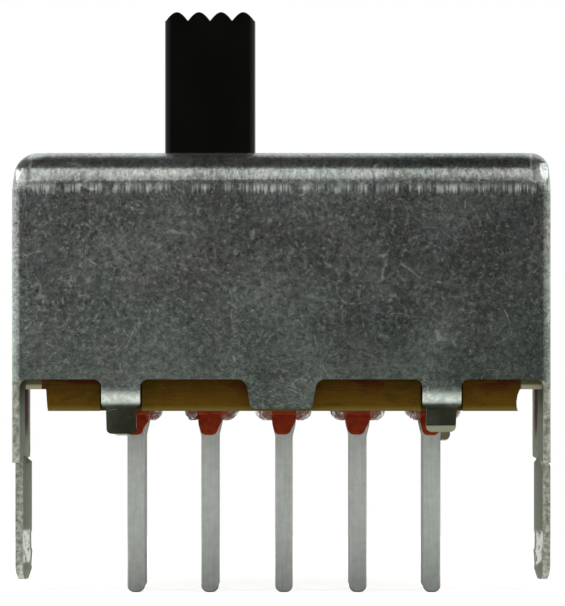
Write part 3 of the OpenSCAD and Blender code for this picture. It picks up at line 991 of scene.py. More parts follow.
    def paint(self, slot: int, test: Test) -> None:
        """Gives the chosen faces one of the mesh's materials."""
        with self.picked(Part.FACES, test):
            self.obj.active_material_index = slot
            bpy.ops.object.material_slot_assign()

    def soften(self, width: float, steps: int = 2, angle: float = 40.0) -> "Workpiece":
        """Rounds every edge sharper than an angle."""
        self.modify("BEVEL", width=width, segments=steps, limit_method="ANGLE",
                    angle_limit=math.radians(angle), harden_normals=False)
        return self

    def set_down(self, name: str, body: str, slot: str, nodes: Sequence[str],
                 smooth: float = 32.0) -> bpy.types.Object:
        """Finishes the piece: smooth normals, metres, a name and its body.

        Args:
            name: Name of the piece.
            body: CAD body that it rides on.
            slot: The record's material slot. It is not used.
            nodes: CAD nodes that it stands for.
            smooth: Angle in degrees up to which faces shade as one.

        Returns:
            The finished object.
        """
        self.activate()
        bpy.ops.object.shade_smooth_by_angle(angle=math.radians(smooth))
        self.modify("WEIGHTED_NORMAL", keep_sharp=True)
        self.activate()
        bpy.ops.transform.resize(value=(MM, MM, MM), center_override=(0, 0, 0))
        bpy.ops.object.transform_apply(location=True, rotation=True, scale=True)
        self.obj.name = name
        self.obj.data.name = name
        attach(self.obj, body)
        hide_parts(*nodes)
        LOG.info("%s: %d faces, on %s", name, len(self.obj.data.polygons), body)
        return self.obj


# Sub-assemblies -------------------------------------------------------------------------


@dataclass
class FrameShell:
    """The drawn steel frame: a can with a slot, detent holes, crimp tabs and legs."""

    box: Box = FRAME_BOX
    front_bend: float = 1.0
    left_bend: float = 0.85
    right_bend: float = 0.62
    upright_bend: float = 0.3
    swell: Sequence[float] = (1.2, 1.0, 1.3)
    swell_factor: float = 0.5
    swell_times: int = 8
    facets: Sequence[tuple] = (
        ((0.35, 0.65, 0.67), 0.05, 0.03), ((0.42, 0.82, 0.4), 0.024, 0.055))
    wall_low: float = 2.84
    end_fillet: float = 0.3
    end_skin: float = 0.01
    crimp_w: float = 1.32
    tongue_w: float = 1.02
    crimp_z: float = 2.35
    neck_z: float = 1.93
    crimp_r: float = 0.75
    tongue_len: float = 1.65
    folds: Sequence[tuple] = ((-1, -1, 41.0), (1, -1, 55.0), (-1, 1, 20.0), (1, 1, 9.0))
    fold_steps: int = 8
    right_longer: float = 0.14
    tip_reach: float = 0.25
    curl: float = 34.0
    curl_len: float = 0.3
    curl_steps: int = 4
    curl_pitch: float = 0.04
    early_rows: Sequence[float] = (0.22, 0.15, 0.08)
    early_turn: float = 1.8
    mid_tab_w: float = 2.42
    mid_tab_draft: float = 0.17
    mid_tab_len: float = 1.0
    corner: float = 0.15
    root: float = 0.26
    root_play: float = 0.02
    stem_r: float = 0.14
    tongue_r: float = 0.2
    slot_l: float = 8.68
    slot_w: float = 3.24
    slot_r: float = 0.2
    detent_r: float = 0.35
    leg_w: float = 2.6
    leg_gutter: float = 0.25
    leg_tip: float = 0.5
    rib_top: float = -0.18
    rib_slope: float = 0.2
    right_splay: float = 0.11
    leg_steps: int = 16
    leg_root: float = 0.4
    dull_root: float = 0.3
    dull_way: float = 0.3
    roll_over: float = 0.13
    end_band: float = 0.1
    end_drop: float = 0.04
    sheared_way: float = 0.35
    pinch: Sequence[tuple] = (
        (2.42, 1.0), (2.56, 0.95), (3.06, 0.97), (3.13, 1.04), (3.62, 0.97), (3.76, 1.0),
        (4.1, 0.78))
    tip_shares: Sequence[float] = (0.25, 0.5, 0.75, 1.0)

    def build(self) -> bpy.types.Object:
        """Builds, folds and sets down the frame."""
        shell = self.drawn_can()
        shell.cut(self.window_tool()).cut(self.opening_tool()).keep(self.corner_tool())
        shell.tidy()
        self.roll_edges(shell)
        self.shear_ends(shell)
        # The rear tongues' front faces take the inside finish, whose pale patch paints light on
        # them.
        shell.paint(2, lambda p, n: p.z < self.neck_z and n.y < -ALIGNED
                    and 0 < p.y < self.box.high.y - NEAR)
        shell.slice("Z", (self.crimp_z + self.wall_low) / 2,
                    lambda p, n: abs(p.y) > self.box.high.y - 2 * SHEET)
        tip, at = self.crimp_z - self.tongue_len, MIDDLE_X + CRIMP_X
        shell.move(lambda p: abs(p.x - at) < self.crimp_w and p.z < tip + self.tip_reach,
                   (0, 0, -self.right_longer))
        curl_at = tip - self.right_longer + self.curl_len
        for side, wall, angle in self.folds:
            self.fold(shell, side, wall, angle, curl_at if side > 0 > wall else None)
        for side in (-1, 1):
            shell.join(self.leg(side))
        shell.tidy(2 * NEAR)
        return shell.set_down("steel_frame", FRAME_BODY, "tinned_steel", ["frame"])

    def drawn_can(self) -> Workpiece:
        """The can with its bends: open below, of one sheet's thickness."""
        low, high = self.box.low, self.box.high
        can = Workpiece.block((low.x, low.y, 0), high)
        bends = (
            ("X", lambda p: p.z > TOP_Z - NEAR, self.front_bend),
            ("Y", lambda p: p.z > TOP_Z - NEAR and p.x < 0, self.left_bend),
            ("Y", lambda p: p.z > TOP_Z - NEAR and p.x > 0, self.right_bend),
            ("Z", lambda p: True, self.upright_bend),
        )
        for axis, where, radius in bends:
            with can.picked(Part.EDGES, along(axis, where)):
                bpy.ops.transform.edge_bevelweight(value=radius)
        can.modify("BEVEL", width=1.0, segments=8, limit_method="WEIGHT")
        self.swell_corners(can)
        with can.picked(Part.FACES, lambda p, n: n.z < -ALIGNED):
            bpy.ops.mesh.delete(type="FACE")
        can.thicken()
        return can

    def swell_corners(self, can: Workpiece) -> None:
        """Softens the four top corners, where the sheet was stretched most."""
        low, high = self.box.low, self.box.high
        left, right = low.x + self.swell[0], high.x - self.swell[1]
        across, under = high.y - self.swell[2], high.z - self.swell[2]
        for axis, level in (("X", left), ("X", right), ("Y", across), ("Y", -across), ("Z", under)):
            can.slice(axis, level)
        with can.picked(Part.VERTS, lambda p, n: (p.x < left - NEAR or p.x > right + NEAR)
                        and abs(p.y) > across + NEAR and p.z > under + NEAR):
            bpy.ops.mesh.vertices_smooth(factor=self.swell_factor, repeat=self.swell_times)
        for way, *dents in self.facets:
            for side, depth in zip((-1, 1), dents):
                for wall in (-1, 1):
                    facing = Vector((way[0] * side, way[1] * wall, way[2])).normalized()
                    reach = max(v.co.dot(facing) for v in can.obj.data.vertices) - depth
                    can.trim(facing * reach, facing)

    def window_tool(self) -> Workpiece:
        """What is punched out below the walls, round the tabs."""
        inside, over = self.wall_low + 1, 4 * self.box.size.y
        tool = Workpiece.bar((MIDDLE_X, 0), (2 * (HALF_L - SHEET - self.end_skin), over / 2), -1,
                             self.wall_low)
        tool.round_edges("Y", lambda p: p.z > self.wall_low - NEAR, self.end_fillet, 6)
        tip_z = self.wall_low - self.mid_tab_len
        tab = Workpiece.bar((MIDDLE_X, 0), (self.mid_tab_w, over), tip_z, inside)
        tip = 1 - 2 * self.mid_tab_draft / self.mid_tab_w
        tab.resize(lambda p: p.z < tip_z + NEAR, (tip, 1, 1), (MIDDLE_X, 0, 0))
        spread = 1 + 2 * self.mid_tab_draft / self.mid_tab_w / self.mid_tab_len
        tab.resize(lambda p: p.z > self.wall_low, (spread, 1, 1), (MIDDLE_X, 0, 0))
        tab.round_edges("Y", lambda p: p.z < tip_z + NEAR, self.corner)
        tool.cut(tab)
        for side in (-1, 1):
            at = MIDDLE_X + side * CRIMP_X
            stem = Workpiece.bar((at, 0), (self.crimp_w, over), self.neck_z, inside)
            tongue = Workpiece.bar(
                (at, 0), (self.tongue_w, over), self.crimp_z - self.tongue_len, inside)
            stem.round_edges("Y", lambda p: p.z < self.neck_z + NEAR, self.stem_r, 4)
            tongue.round_edges("Y", lambda p: p.z < self.neck_z, self.tongue_r)
            tool.cut(stem).cut(tongue)
        roots = [MIDDLE_X + s * self.mid_tab_w / 2 for s in (-1, 1)]
        roots += [MIDDLE_X + a * CRIMP_X + b * self.crimp_w / 2 for a in (-1, 1) for b in (-1, 1)]
        tool.tidy()
        tool.round_edges("Y", lambda p: p.z > self.wall_low - NEAR
                         and any(abs(p.x - root) < self.root_play for root in roots), self.root)
        return tool.dress(SHEARED)

    def opening_tool(self) -> Workpiece:
        """The slot for the knob and the six detent holes, as one cutter."""
        slot = Workpiece.bar((MIDDLE_X, 0), (self.slot_l, self.slot_w), TOP_Z - 1, TOP_Z + 1)
        slot.round_edges("Z", lambda p: True, self.slot_r)
        holes = [
            Workpiece.cylinder(self.detent_r, (k * PITCH, side * DETENT_Y, TOP_Z - 1), 2)
            for k in (-1, 0, 1) for side in (-1, 1)
        ]
        return slot.gather(holes).dress(SHEARED)

    def corner_tool(self) -> Workpiece:
        """Block that rounds the lower corners of the end plates."""
        low, high = self.box.low, self.box.high
        tool = Workpiece.block((low.x - 1, low.y, 0), (high.x + 1, high.y, high.z + 1))
        tool.round_edges("X", lambda p: p.z < NEAR, self.end_fillet, 6)
        return tool.dress(SHEARED)

    def shear_ends(self, shell: Workpiece) -> None:
        """Marks the upright edges of the end plates, below the walls, as sheared."""
        inner, cut = HALF_L - SHEET - self.end_band, self.wall_low - self.end_drop
        shell.slice("Z", cut, lambda p, n: abs(p.x - MIDDLE_X) > inner and abs(p.y) > 1)
        shell.paint(1, lambda p, n: abs(p.x - MIDDLE_X) > inner and p.z < cut - NEAR
                    and abs(n.y) > self.sheared_way
                    and abs(p.y) > self.box.high.y - self.upright_bend)

    def roll_edges(self, shell: Workpiece) -> None:
        """Rounds the outer edges of the punched openings, where the sheet was drawn in."""
        high = self.box.high

        def outer_rims(mesh: bmesh.types.BMesh) -> list[bmesh.types.BMEdge]:
            """The edges between the outer skin and a punched face."""
            return [edge for edge, place, _ in Part.EDGES.listed(mesh)
                    if len(edge.link_faces) == 2
                    and sum(face.material_index == 0 for face in edge.link_faces) == 1
                    and (abs(place.y) > high.y - NEAR or place.z > high.z - NEAR)]

        with shell.opened(Part.EDGES, outer_rims):
            bpy.ops.mesh.bevel(
                offset=self.roll_over, segments=3, affect="EDGES", clamp_overlap=True)

    def fold(self, shell: Workpiece, side: int, wall: int, angle: float,
             curl_at: float | None = None) -> None:
        """Folds one crimp tab inwards.

        Args:
            shell: The frame.
            side: -1 for a tab at the left and 1 for one at the right.
            wall: -1 for the front wall and 1 for the rear one.
            angle: How far the tab is bent, in degrees.
            curl_at: Where its end is turned back a little, as a height before the fold.
        """
        at = MIDDLE_X + side * CRIMP_X
        middle_r = self.crimp_r - SHEET / 2
        rise = middle_r * math.radians(angle) / self.fold_steps
        middle_y = wall * (self.box.high.y - SHEET / 2)
        early = len(self.early_rows)
        rows = [self.crimp_z + row for row in self.early_rows]
        rows += [self.crimp_z - rise * k for k in range(self.fold_steps)]
        turns = [self.early_turn] * early
        turns += [(angle - early * self.early_turn) / self.fold_steps] * self.fold_steps
        if curl_at is not None:
            middle = (self.curl_steps - 1) / 2
            rows += [curl_at + self.curl_pitch * (middle - k) for k in range(self.curl_steps)]
            turns += [-self.curl / self.curl_steps] * self.curl_steps

        def on_tab(place: Vector) -> bool:
            """Whether a place is on this tab, below the wall."""
            return (abs(place.x - at) < self.crimp_w and place.y * wall > 0
                    and place.z < self.wall_low)

        for row in rows:
            shell.slice("Z", row, lambda p, n: on_tab(p))
        corners = [v for v in shell.obj.data.vertices if on_tab(v.co)]
        below = [{v.index for v in corners if v.co.z < row - NEAR} for row in rows]
        pivot = Vector((at, middle_y, rows[0]))
        lean = 0.0
        drops = [above - row for above, row in zip(rows, rows[1:])] + [0.0]
        for chosen, turn, drop in zip(below, map(math.radians, turns), drops):
            with shell.opened(
                    Part.VERTS, lambda mesh: [v for v in mesh.verts if v.index in chosen]):
                bpy.ops.transform.rotate(
                    value=wall * turn, orient_axis="X", center_override=pivot)
            lean += turn
            pivot += Vector((0, -wall * math.sin(lean) * drop, -math.cos(lean) * drop))

    def leg(self, side: int) -> Workpiece:
        """A mounting leg: a strip with a stamped-in gutter and a rounded tip."""
        half = self.leg_w / 2
        gutter_r = (half ** 2 + self.leg_gutter ** 2) / (2 * self.leg_gutter)
        outer_x = self.box.high.x if side > 0 else self.box.low.x
        low_z, top = self.box.low.z, self.rib_top
        shift = self.right_splay if side > 0 else 0.0
        centre = (outer_x + side * (gutter_r - self.leg_gutter), 0, 0)
        strip = Workpiece.block((outer_x, -half, low_z), (outer_x + side, half, top))
        with strip.picked(
                Part.VERTS, lambda p, n: p.y > -half + NEAR or abs(p.x - outer_x) > NEAR):
            bpy.ops.mesh.delete(type="VERT")
        sweep = 2 * math.asin(half / gutter_r)
        with strip.picked(Part.VERTS, everywhere):
            bpy.ops.mesh.spin(
                steps=self.leg_steps, angle=side * sweep, center=centre, axis=(0, 0, 1))
        with strip.picked(Part.EDGES, lambda p, d: p.z > top - NEAR and abs(d.z) < NEAR):
            bpy.ops.mesh.extrude_region_move(
                TRANSFORM_OT_translate={"value": (0, 0, self.rib_slope)})
            bpy.ops.transform.resize(value=(0, 1, 1), center_override=(outer_x, 0, 0))
            bpy.ops.mesh.extrude_region_move(
                TRANSFORM_OT_translate={"value": (0, 0, self.leg_root)})
        strip.move(lambda p: p.z < top + NEAR, (shift, 0, 0))
        strip.tidy()
        with strip.picked(Part.FACES, everywhere):
            mesh = bmesh.from_edit_mesh(strip.obj.data)
            if sum(f.normal.x for f in mesh.faces) * side < 0:
                bpy.ops.mesh.flip_normals()
        strip.thicken()
        tip = Workpiece.block((outer_x - 1, -half, low_z), (outer_x + 1, half, 1))
        tip.round_edges("X", lambda p: p.z < low_z + NEAR, self.leg_tip, 10)
        strip.keep(tip.dress(SHEARED)).tidy()
        for drop, _ in self.pinch[:-1]:
            strip.slice("Z", -drop)
        strip.paint(2, lambda p, n: top < p.z < top + self.dull_root
                    and n.x * side < -self.dull_way)
        for (above, first), (below, last) in zip(self.pinch, self.pinch[1:]):
            at_tip = below == self.pinch[-1][0]
            reach = (below - above) / 8 if at_tip else NEAR
            for share in self.tip_shares if at_tip else (1.0,):
                level = above + (below - above) * share
                width = first + (last - first) * share
                strip.resize(lambda p: abs(p.z + level) < reach, (width, 1, 1),
                             (outer_x + shift, 0, 0))
        return strip


@dataclass
class SliderBlock:
    """The black slider: a knob with grip teeth on a carriage with wells and pockets."""

    box: Box = Box.of("slider")
    knob_l: float = 3.1
    knob_w: float = 3.0
    knob_edge: float = 0.2
    teeth: int = 4
    tooth_pitch: float = 0.76
    tooth_h: float = 0.3
    tooth_steps: int = 10
    carriage_top: float = 10.2
    carriage_edge: float = 0.55
    well_r: float = 0.54
    well_depth: float = 3.2
    pocket: Sequence[float] = (6.06, 1.18, 0.8)

    def build(self) -> bpy.types.Object:
        """Builds and sets down the slider."""
        block = self.carriage()
        block.cut(self.hollows())
        block.soften(0.05)
        block.join(self.knob())
        return block.dress(BLACK).set_down(
            "slider_moulding", SLIDER_BODY, "black_moulding", ["slider"])

    def knob(self) -> Workpiece:
        """The knob, with a row of round teeth across its top."""
        mid_x = self.box.centre.x
        valley = self.box.high.z - self.tooth_h
        size = (self.knob_l, self.knob_w)
        knob = Workpiece.bar((mid_x, 0), size, self.carriage_top - 1, valley)
        count = self.teeth * self.tooth_steps
        first = mid_x - self.teeth * self.tooth_pitch / 2
        gap = self.tooth_pitch / self.tooth_steps
        for k in range(count + 1):
            knob.slice("X", first + gap * k)
        for phase in range(1, self.tooth_steps // 2 + 1):
            lift = self.tooth_h * math.sin(math.pi * phase / self.tooth_steps)

            def on_phase(place: Vector) -> bool:
                """Whether a corner of the top lies at this phase of a tooth."""
                turns = (place.x - first) / self.tooth_pitch
                share = (turns - math.floor(turns + 1e-6)) * self.tooth_steps
                share = min(share, self.tooth_steps - share)
                return (place.z > valley - NEAR and -NEAR < turns < self.teeth + NEAR
                        and abs(share - phase) < 0.1)

            knob.move(on_phase, (0, 0, lift))
        shape = Workpiece.bar((mid_x, 0), size, self.carriage_top - 2, self.box.high.z + 1)
        shape.round_edges("Z", lambda p: True, self.knob_edge, 6)
        return knob.keep(shape)

    def carriage(self) -> Workpiece:
        """The carriage that runs under the frame's top."""
        low, high = self.box.low, self.box.high
        body = Workpiece.block(low, (high.x, high.y, self.carriage_top))
        body.round_edges("X", lambda p: p.z > self.carriage_top - NEAR, self.carriage_edge, 8)
        return body

    def hollows(self) -> Workpiece:
        """Cutter of the two spring wells and the two leaf pockets."""
        mid_x = self.box.centre.x
        length, width, depth = self.pocket
        tools = []
        for side in (-1, 1):
            tools.append(Workpiece.cylinder(
                self.well_r, (mid_x, side * DETENT_Y, self.carriage_top - self.well_depth),
                2 * self.well_depth))
            tools.append(Workpiece.bar((mid_x, side * ROW_Y), (length, width),
                                       self.box.low.z - depth, self.box.low.z + depth))
        return tools[0].gather(tools[1:])


@dataclass
class TerminalBase:
    """The laminate base: a board with an upper rim, stop posts, tab notches and slots."""

    box: Box = BASE_BOX
    board_t: float = 1.6
    rim_t: float = 0.86
    end_gap: float = 0.79
    post_t: float = 1.2
    post_w: float = 5.8
    notch_w: float = 1.42
    notch_reach: float = 0.78
    through: Span = (-1, 6)
    torn: Sequence[tuple] = ((0.0, 0.09, 0.16), (0.12, 0.07, 0.2), (0.32, 0.055, 0.21),
                             (0.55, 0.04, 0.17), (0.85, 0.02, 0.05), (1.2, 0.0, 0.0))

    def build(self) -> bpy.types.Object:
        """Builds and sets down the base."""
        low, high = self.box.low, self.box.high
        top = low.z + self.board_t
        half = HALF_L - SHEET - self.end_gap
        board = Workpiece.block((-half, low.y, low.z), (half, high.y, top))
        self.tear_ends(board, half)
        rim = Workpiece.block((low.x, low.y, top - self.rim_t), (high.x, high.y, top))
        board.join(rim)
        for side in (-1, 1):
            ends = sorted((side * half, side * (half - self.post_t)))
            board.join(Workpiece.block((ends[0], -self.post_w / 2, top - self.rim_t / 2),
                                       (ends[1], self.post_w / 2, high.z)))
        board.cut(self.notches()).cut(self.slots())
        board.soften(0.04)
        return board.dress(LAMINATE).set_down(
            "laminate_base", FRAME_BODY, "phenolic", ["base"])

    def tear_ends(self, board: Workpiece, half: float) -> None:
        """Gives the board's sheared ends their slant and torn lower corner."""
        low_z = self.box.low.z
        for height, *_ in self.torn[1:]:
            board.slice("Z", low_z + height)
        for height, *insets in self.torn[:-1]:
            for side, inset in zip((-1, 1), insets):
                board.move(lambda p: abs(p.z - low_z - height) < NEAR
                           and abs(p.x - side * half) < NEAR, (-side * inset, 0, 0))

    def notches(self) -> Workpiece:
        """Cutter of the four notches for the crimp tabs."""
        inner, outer = FRAME_BOX.high.y - self.notch_reach, FRAME_BOX.high.y + 1
        tools = [Workpiece.bar((MIDDLE_X + side * CRIMP_X, wall * (inner + outer) / 2),
                               (self.notch_w, outer - inner), *self.through)
                 for side in (-1, 1) for wall in (-1, 1)]
        return tools[0].gather(tools[1:])

    def slots(self) -> Workpiece:
        """Cutter of the ten slots for the terminals."""
        tools = [Workpiece.bar((k * PITCH, row * ROW_Y), (SHANK_W, PIN_T), *self.through)
                 for row in (-1, 1) for k in range(-2, 3)]
        return tools[0].gather(tools[1:])


@dataclass
class TerminalRow:
    """The ten stamped terminals: a head over the base, a shank through it and a blade."""

    tip_r: float = 0.24
    shank_drop: float = 0.5
    shank_taper: float = 0.42
    head: Span = (1.5, 1.1)
    head_t: float = 0.25

    def build(self) -> list[bpy.types.Object]:
        """Stamps one terminal and copies it into its ten places."""
        first = Box.of("terminal_front_1")
        pattern = self.stamp(first)
        made = []
        for row in ("front", "rear"):
            for k in range(1, 6):
                node = f"terminal_{row}_{k}"
                twin = pattern.copy()
                twin.shift(Box.of(node).centre - first.centre)
                made.append(twin.set_down(
                    f"blade_{row}_{k}", FRAME_BODY, "terminal_plate", [node]))
        bpy.data.objects.remove(pattern.obj)
        return made

    def stamp(self, box: Box) -> Workpiece:
        """The first terminal, in its place."""
        x, y = box.centre.x, box.centre.y
        under = BASE_BOX.low.z
        taper = under - self.shank_drop
        blade = Workpiece.bar((x, y), (SHANK_W, PIN_T), box.low.z, box.high.z - self.head_t / 5)
        blade.slice("Z", taper)
        blade.slice("Z", taper - self.shank_taper)
        narrow = PIN_W / SHANK_W
        blade.resize(lambda p: p.z < taper - self.shank_taper + NEAR, (narrow, 1, 1), (x, y, 0))
        blade.round_edges("Y", lambda p: p.z < box.low.z + NEAR, self.tip_r, 8)
        blade.join(Workpiece.bar((x, y), self.head, box.high.z - self.head_t, box.high.z))
        blade.tidy()
        blade.soften(0.05, 3, 50)
        return blade.dress(TERMINAL)


@dataclass
class ResinSeals:
    """The ten resin seals: a thin scalloped foot under the base and a drip on the shank."""

    profile: Sequence[tuple] = (
        (1.0, 0.08), (0.96, 0.19), (0.86, 0.29), (0.72, 0.36), (0.6, 0.34), (0.48, 0.24))
    foot_depth: float = 0.4
    gap_w: float = 0.42
    gap_depth: float = 0.1
    drip: float = 0.9
    drip_r: float = 0.14
    drip_short: Span = (0.0, 0.08)
    lean: Span = (-0.06, -0.02)
    dents: int = 4
    dent: Span = (0.04, 0.14)
    dent_r: float = 0.62
    middle_share: float = 0.55
    skin: float = 0.03
    fit: float = 0.01
    sunk: float = 0.02
    gap_share: float = 0.25
    centre_play: float = 0.05

    def build(self) -> list[bpy.types.Object]:
        """Pours the ten seals, each a little different."""
        chance = random.Random(7)
        made = []
        for row in ("front", "rear"):
            for k in range(1, 6):
                terminal = Box.of(f"terminal_{row}_{k}").centre
                seal = self.pour(terminal.x, terminal.y, chance)
                made.append(seal.set_down(f"resin_{row}_{k}", FRAME_BODY, "red_resin",
                                          [f"seal_{row}_{k}"], 60))
        return made

    def pour(self, x: float, y: float, chance: random.Random) -> Workpiece:
        """One seal round the terminal at (x, y)."""
        under = BASE_BOX.low.z
        first_r, first_depth = self.profile[0]
        foot = Workpiece.cylinder(first_r, (x, y, under - first_depth), first_depth, sides=40)
        for (radius, depth), (next_r, next_depth) in zip(self.profile, self.profile[1:]):
            foot.extrude(lambda p, n: abs(n.z) > ALIGNED and abs(p.z - under + depth) < NEAR
                         and (p - Vector((x, y, p.z))).length < self.centre_play,
                         (0, 0, depth - next_depth), (next_r / radius,) * 2 + (1,), (x, y, 0))
        for _ in range(self.dents):
            angle = chance.uniform(0, 2 * math.pi)
            edge = Vector((math.cos(angle), math.sin(angle), 0))
            pull = chance.uniform(*self.dent)
            foot.move(lambda p: (p - Vector((x, y, p.z))).dot(edge) > self.dent_r, -edge * pull)
        foot.resize(lambda p: abs(p.x - x) < self.gap_w and p.z < under - self.gap_depth + NEAR,
                    (1, 1, self.gap_share), (x, y, under - self.gap_depth))
        top_w, tip_w = SHANK_W / 2 + self.fit, PIN_W / 2 - 2 * self.skin
        lean = chance.uniform(*self.lean)
        drop = self.drip - chance.uniform(*self.drip_short)
        half_z = under - (self.foot_depth + drop) / 2
        skin = Workpiece.bar((x, y), (2 * top_w, PIN_T + 2 * self.skin), under - drop,
                             under - self.sunk)
        skin.slice("Z", under - self.foot_depth)
        skin.slice("Z", half_z)
        skin.resize(lambda p: p.z < under - drop + NEAR, (tip_w / top_w, 1, 1), (x, y, 0))
        skin.resize(lambda p: abs(p.z - half_z) < NEAR,
                    (1 + (tip_w / top_w - 1) * self.middle_share, 1, 1), (x, y, 0))
        skin.move(lambda p: p.z < under - self.foot_depth - NEAR, (lean, 0, 0))
        skin.round_edges("Y", lambda p: p.z < under - drop + NEAR, self.drip_r)
        foot.join(skin)
        foot.tidy()
        foot.soften(0.04, 2, 35)
        return foot.dress(RESIN)


@dataclass
class ContactLeaves:
    """The two wavy brass leaves that bridge neighbouring contact heads."""

    leaf_t: float = 0.12
    columns: int = 48

    def build(self) -> list[bpy.types.Object]:
        """Rolls one leaf and copies it."""
        box = Box.of("contact_front")
        low, high = box.low, box.high
        middle = box.centre.x
        leaf = Workpiece.block(low, (high.x, high.y, low.z + self.leaf_t))
        for k in range(1, self.columns):
            leaf.slice("X", low.x + box.size.x * k / self.columns)
        swing = box.size.z - self.leaf_t
        for k in range(self.columns + 1):
            x = low.x + box.size.x * k / self.columns
            lift = swing * (1 - math.cos(2 * math.pi * (x - middle) / PITCH)) / 2
            leaf.move(lambda p: abs(p.x - x) < NEAR, (0, 0, lift))
        leaf.soften(0.02, 2, 60)
        leaf.dress(BRASS)
        rear = leaf.copy()
        rear.shift(Box.of("contact_rear").centre - box.centre)
        return [
            leaf.set_down("leaf_front", SLIDER_BODY, "spring_brass", ["contact_front"]),
            rear.set_down("leaf_rear", SLIDER_BODY, "spring_brass", ["contact_rear"]),
        ]


@dataclass
class DetentPairs:
    """The two detent balls and the coil springs under them."""

    wire: float = 0.12
    turns: int = 6
    steps: int = 24

    def build(self) -> list[bpy.types.Object]:
        """Makes a ball and a spring for each side."""
        made = []
        for side in ("front", "rear"):
            box = Box.of(f"detent_ball_{side}")
            ball = Workpiece.ball(box.size.x / 2, box.centre).dress(BALL)
            made.append(ball.set_down(f"ball_{side}", SLIDER_BODY, "ball_steel",
                                      [f"detent_ball_{side}"], 60))
            coil = self.coil(Box.of(f"detent_spring_{side}"))
            made.append(coil.set_down(f"coil_{side}", SLIDER_BODY, "spring_steel",
                                      [f"detent_spring_{side}"], 60))
        return made

    def coil(self, box: Box) -> Workpiece:
        """Winds a spring that fills a box."""
        middle = box.centre
        wire_r = self.wire / 2
        mean_r = box.size.x / 2 - wire_r
        ring = Workpiece.ring(wire_r, (mean_r, 0, 0), 10)
        ring.modify("SCREW", axis="Z", angle=2 * math.pi * self.turns,
                    screw_offset=box.size.z - self.wire, steps=self.steps * self.turns,
                    render_steps=self.steps * self.turns, use_normal_calculate=True)
        with ring.picked(Part.EDGES, everywhere):
            bpy.ops.mesh.select_all(action="DESELECT")
            bpy.ops.mesh.select_non_manifold()
            bpy.ops.mesh.edge_face_add()
        ring.tidy()
        ring.shift((middle.x, middle.y, box.low.z + wire_r))
        return ring.dress(WIRE)


@dataclass(frozen=True)
class Lamp:
    """A soft box that faces the switch.

    Attributes:
        name: Its name.
        azimuth: Degrees from the front, positive to the right.
        elevation: Degrees above the horizon.
        size: Width and height in metres.
        level: Radiance.
        distance: Metres from the switch.
    """

    name: str
    azimuth: float
    elevation: float
    size: Span
    level: float
    distance: float = 0.4

    def build(self) -> None:
        """Hangs the lamp, unseen by the camera."""
        turn, rise = math.radians(self.azimuth), math.radians(self.elevation)
        away = Vector((math.sin(turn) * math.cos(rise), -math.cos(turn) * math.cos(rise),
                       math.sin(rise)))
        clear_picks()
        bpy.ops.object.light_add(type="AREA", location=away * self.distance,
                                 rotation=away.to_track_quat("Z", "Y").to_euler())
        made = bpy.context.object
        made.name = self.name
        made.data.shape = "RECTANGLE"
        made.data.size, made.data.size_y = self.size
        made.data.energy = self.level * math.pi * self.size[0] * self.size[1]
        made.visible_camera = False


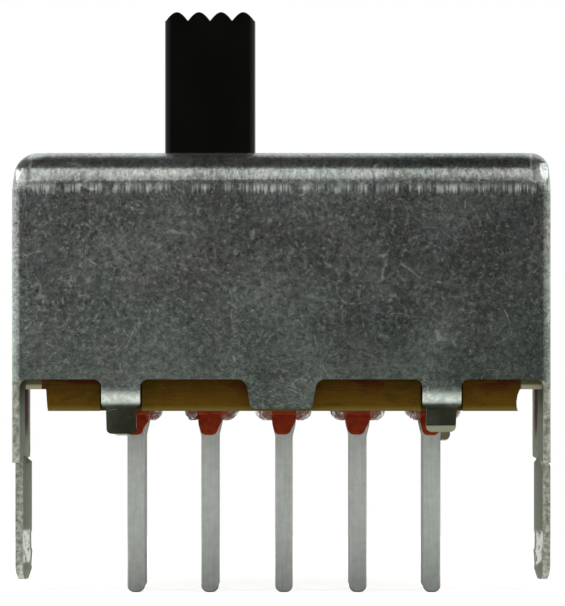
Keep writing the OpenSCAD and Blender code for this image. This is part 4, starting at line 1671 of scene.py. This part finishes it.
@dataclass
class Studio:
    """Camera, lamps, floor and surroundings."""

    camera_place: Sequence[float] = (-0.00005, -0.1746, 0.00543)
    lens: float = 320.9
    sensor: float = 36.0
    clip: Span = (0.01, 10.0)
    lamps: Sequence[Lamp] = (
        Lamp("key", 0, 37.5, (0.95, 0.255), 0.8),
        Lamp("left_box", -62, 40, (0.16, 0.16), 2.2),
        Lamp("right_box", 62, 40, (0.16, 0.16), 2.3),
    )
    floor_r: float = 0.04
    paper: Sequence[Colour] = ((0.86,) * 3, (0.9,) * 3)
    shade_front: Span = (-8.5, -6.0)
    shade_rear: Span = (5.0, 3.0)
    shade_x: Span = (7.4, 6.4)
    shade_level: float = 0.92
    mirror_near: float = 15.0
    glossy_glow: float = 0.6
    camera_glow: float = 0.62
    front_level: float = 0.07
    sides: Sequence[tuple] = (((0.1, 0.6), 0.36), ((0.75, 1.0), 0.24))
    top_z: Span = (0.6, 0.9)
    top_level: float = 0.03
    behind_y: Span = (0.0, 0.2)
    behind_z: Span = (0.99, 0.67)
    behind_level: float = 0.84

    def build(self) -> None:
        """Sets the whole studio up."""
        self.camera()
        for lamp in self.lamps:
            lamp.build()
        self.floor()
        self.surroundings()
        bpy.context.scene.view_settings.view_transform = "Standard"

    def camera(self) -> None:
        """The level, distant camera in front of the switch."""
        clear_picks()
        bpy.ops.object.camera_add(location=self.camera_place, rotation=(math.pi / 2, 0, 0))
        made = bpy.context.object
        made.data.sensor_fit = "HORIZONTAL"
        made.data.sensor_width = self.sensor
        made.data.lens = self.lens
        made.data.clip_start, made.data.clip_end = self.clip
        bpy.context.scene.camera = made

    def floor(self) -> None:
        """A pale disc under the switch: white to the camera, with a soft shadow."""
        clear_picks()
        bpy.ops.mesh.primitive_circle_add(vertices=96, radius=self.floor_r, fill_type="NGON",
                                          location=(0, 0, CAD_BOX[0].z))
        made = bpy.context.object
        made.name = "floor"
        material = bpy.data.materials.new("floor_paper")
        material.use_nodes = True
        self.paint_floor(Shader(material.node_tree))
        made.data.materials.append(material)

    def paint_floor(self, shader: Shader) -> None:
        """Paper that mirrors as dark under the base and pale far off, clear from below."""
        place = shader.millimetres()
        x, y, _ = shader.axes(place)
        under = y.rise(*self.shade_front) * y.rise(*self.shade_rear) * abs(x).rise(*self.shade_x)
        shade = shader.node("ShaderNodeLightPath", output="Is Glossy Ray") * under
        shade = shade * self.shade_level
        colour = shader.coats(self.paper[0], (shader.noise(place, 0.8, 3.0), self.paper[1]),
                              (shade, (0.0, 0.0, 0.0)))
        paper = shader.node("ShaderNodeBsdfDiffuse", inputs={"Color": colour})
        near = ((x * x + y * y) ** 0.5).rise(self.floor_r / MM, self.mirror_near) * (1 - under)
        glossy = shader.node("ShaderNodeLightPath", output="Is Glossy Ray") * near
        seen = shader.node("ShaderNodeLightPath", output="Is Camera Ray").maximum(
            shader.node("ShaderNodeLightPath", output="Is Transmission Ray"))
        glow = (seen * self.camera_glow).maximum(glossy * self.glossy_glow)
        white = shader.node("ShaderNodeEmission", inputs={"Strength": glow})
        lit = shader.node("ShaderNodeAddShader", inputs={0: paper, 1: white})
        back = shader.node("ShaderNodeNewGeometry", output="Backfacing")
        clear = shader.node("ShaderNodeBsdfTransparent")
        shader.end(shader.node("ShaderNodeMixShader", inputs={0: back, 1: lit, 2: clear}))

    def surroundings(self) -> None:
        """White behind the switch and for the camera, dim in front of it and above."""
        world = bpy.data.worlds.new("surroundings")
        bpy.context.scene.world = world
        world.use_nodes = True
        shader = Shader(world.node_tree)
        x, y, z = shader.axes(shader.node("ShaderNodeTexCoord", output="Generated"))
        ahead = self.front_level
        for span, gain in self.sides:
            ahead = ahead + abs(x).rise(*span) * gain
        ahead = ahead + (self.top_level - ahead) * z.rise(*self.top_z)
        behind = y.rise(*self.behind_y) * z.rise(*self.behind_z)
        level = ahead + (self.behind_level - ahead) * behind
        level = level.maximum(shader.node("ShaderNodeLightPath", output="Is Camera Ray"))
        background = shader.node("ShaderNodeBackground",
                                 inputs={"Color": (1.0, 1.0, 1.0, 1.0), "Strength": level})
        shader.end(background, "ShaderNodeOutputWorld")


def main() -> None:
    """Builds the studio and the pieces in order."""
    logging.basicConfig(level=logging.INFO, format="%(message)s")
    for maker in (Studio, FrameShell, SliderBlock, TerminalBase, TerminalRow, ResinSeals,
                  ContactLeaves, DetentPairs):
        maker().build()


if __name__ == "__main__":
    main()
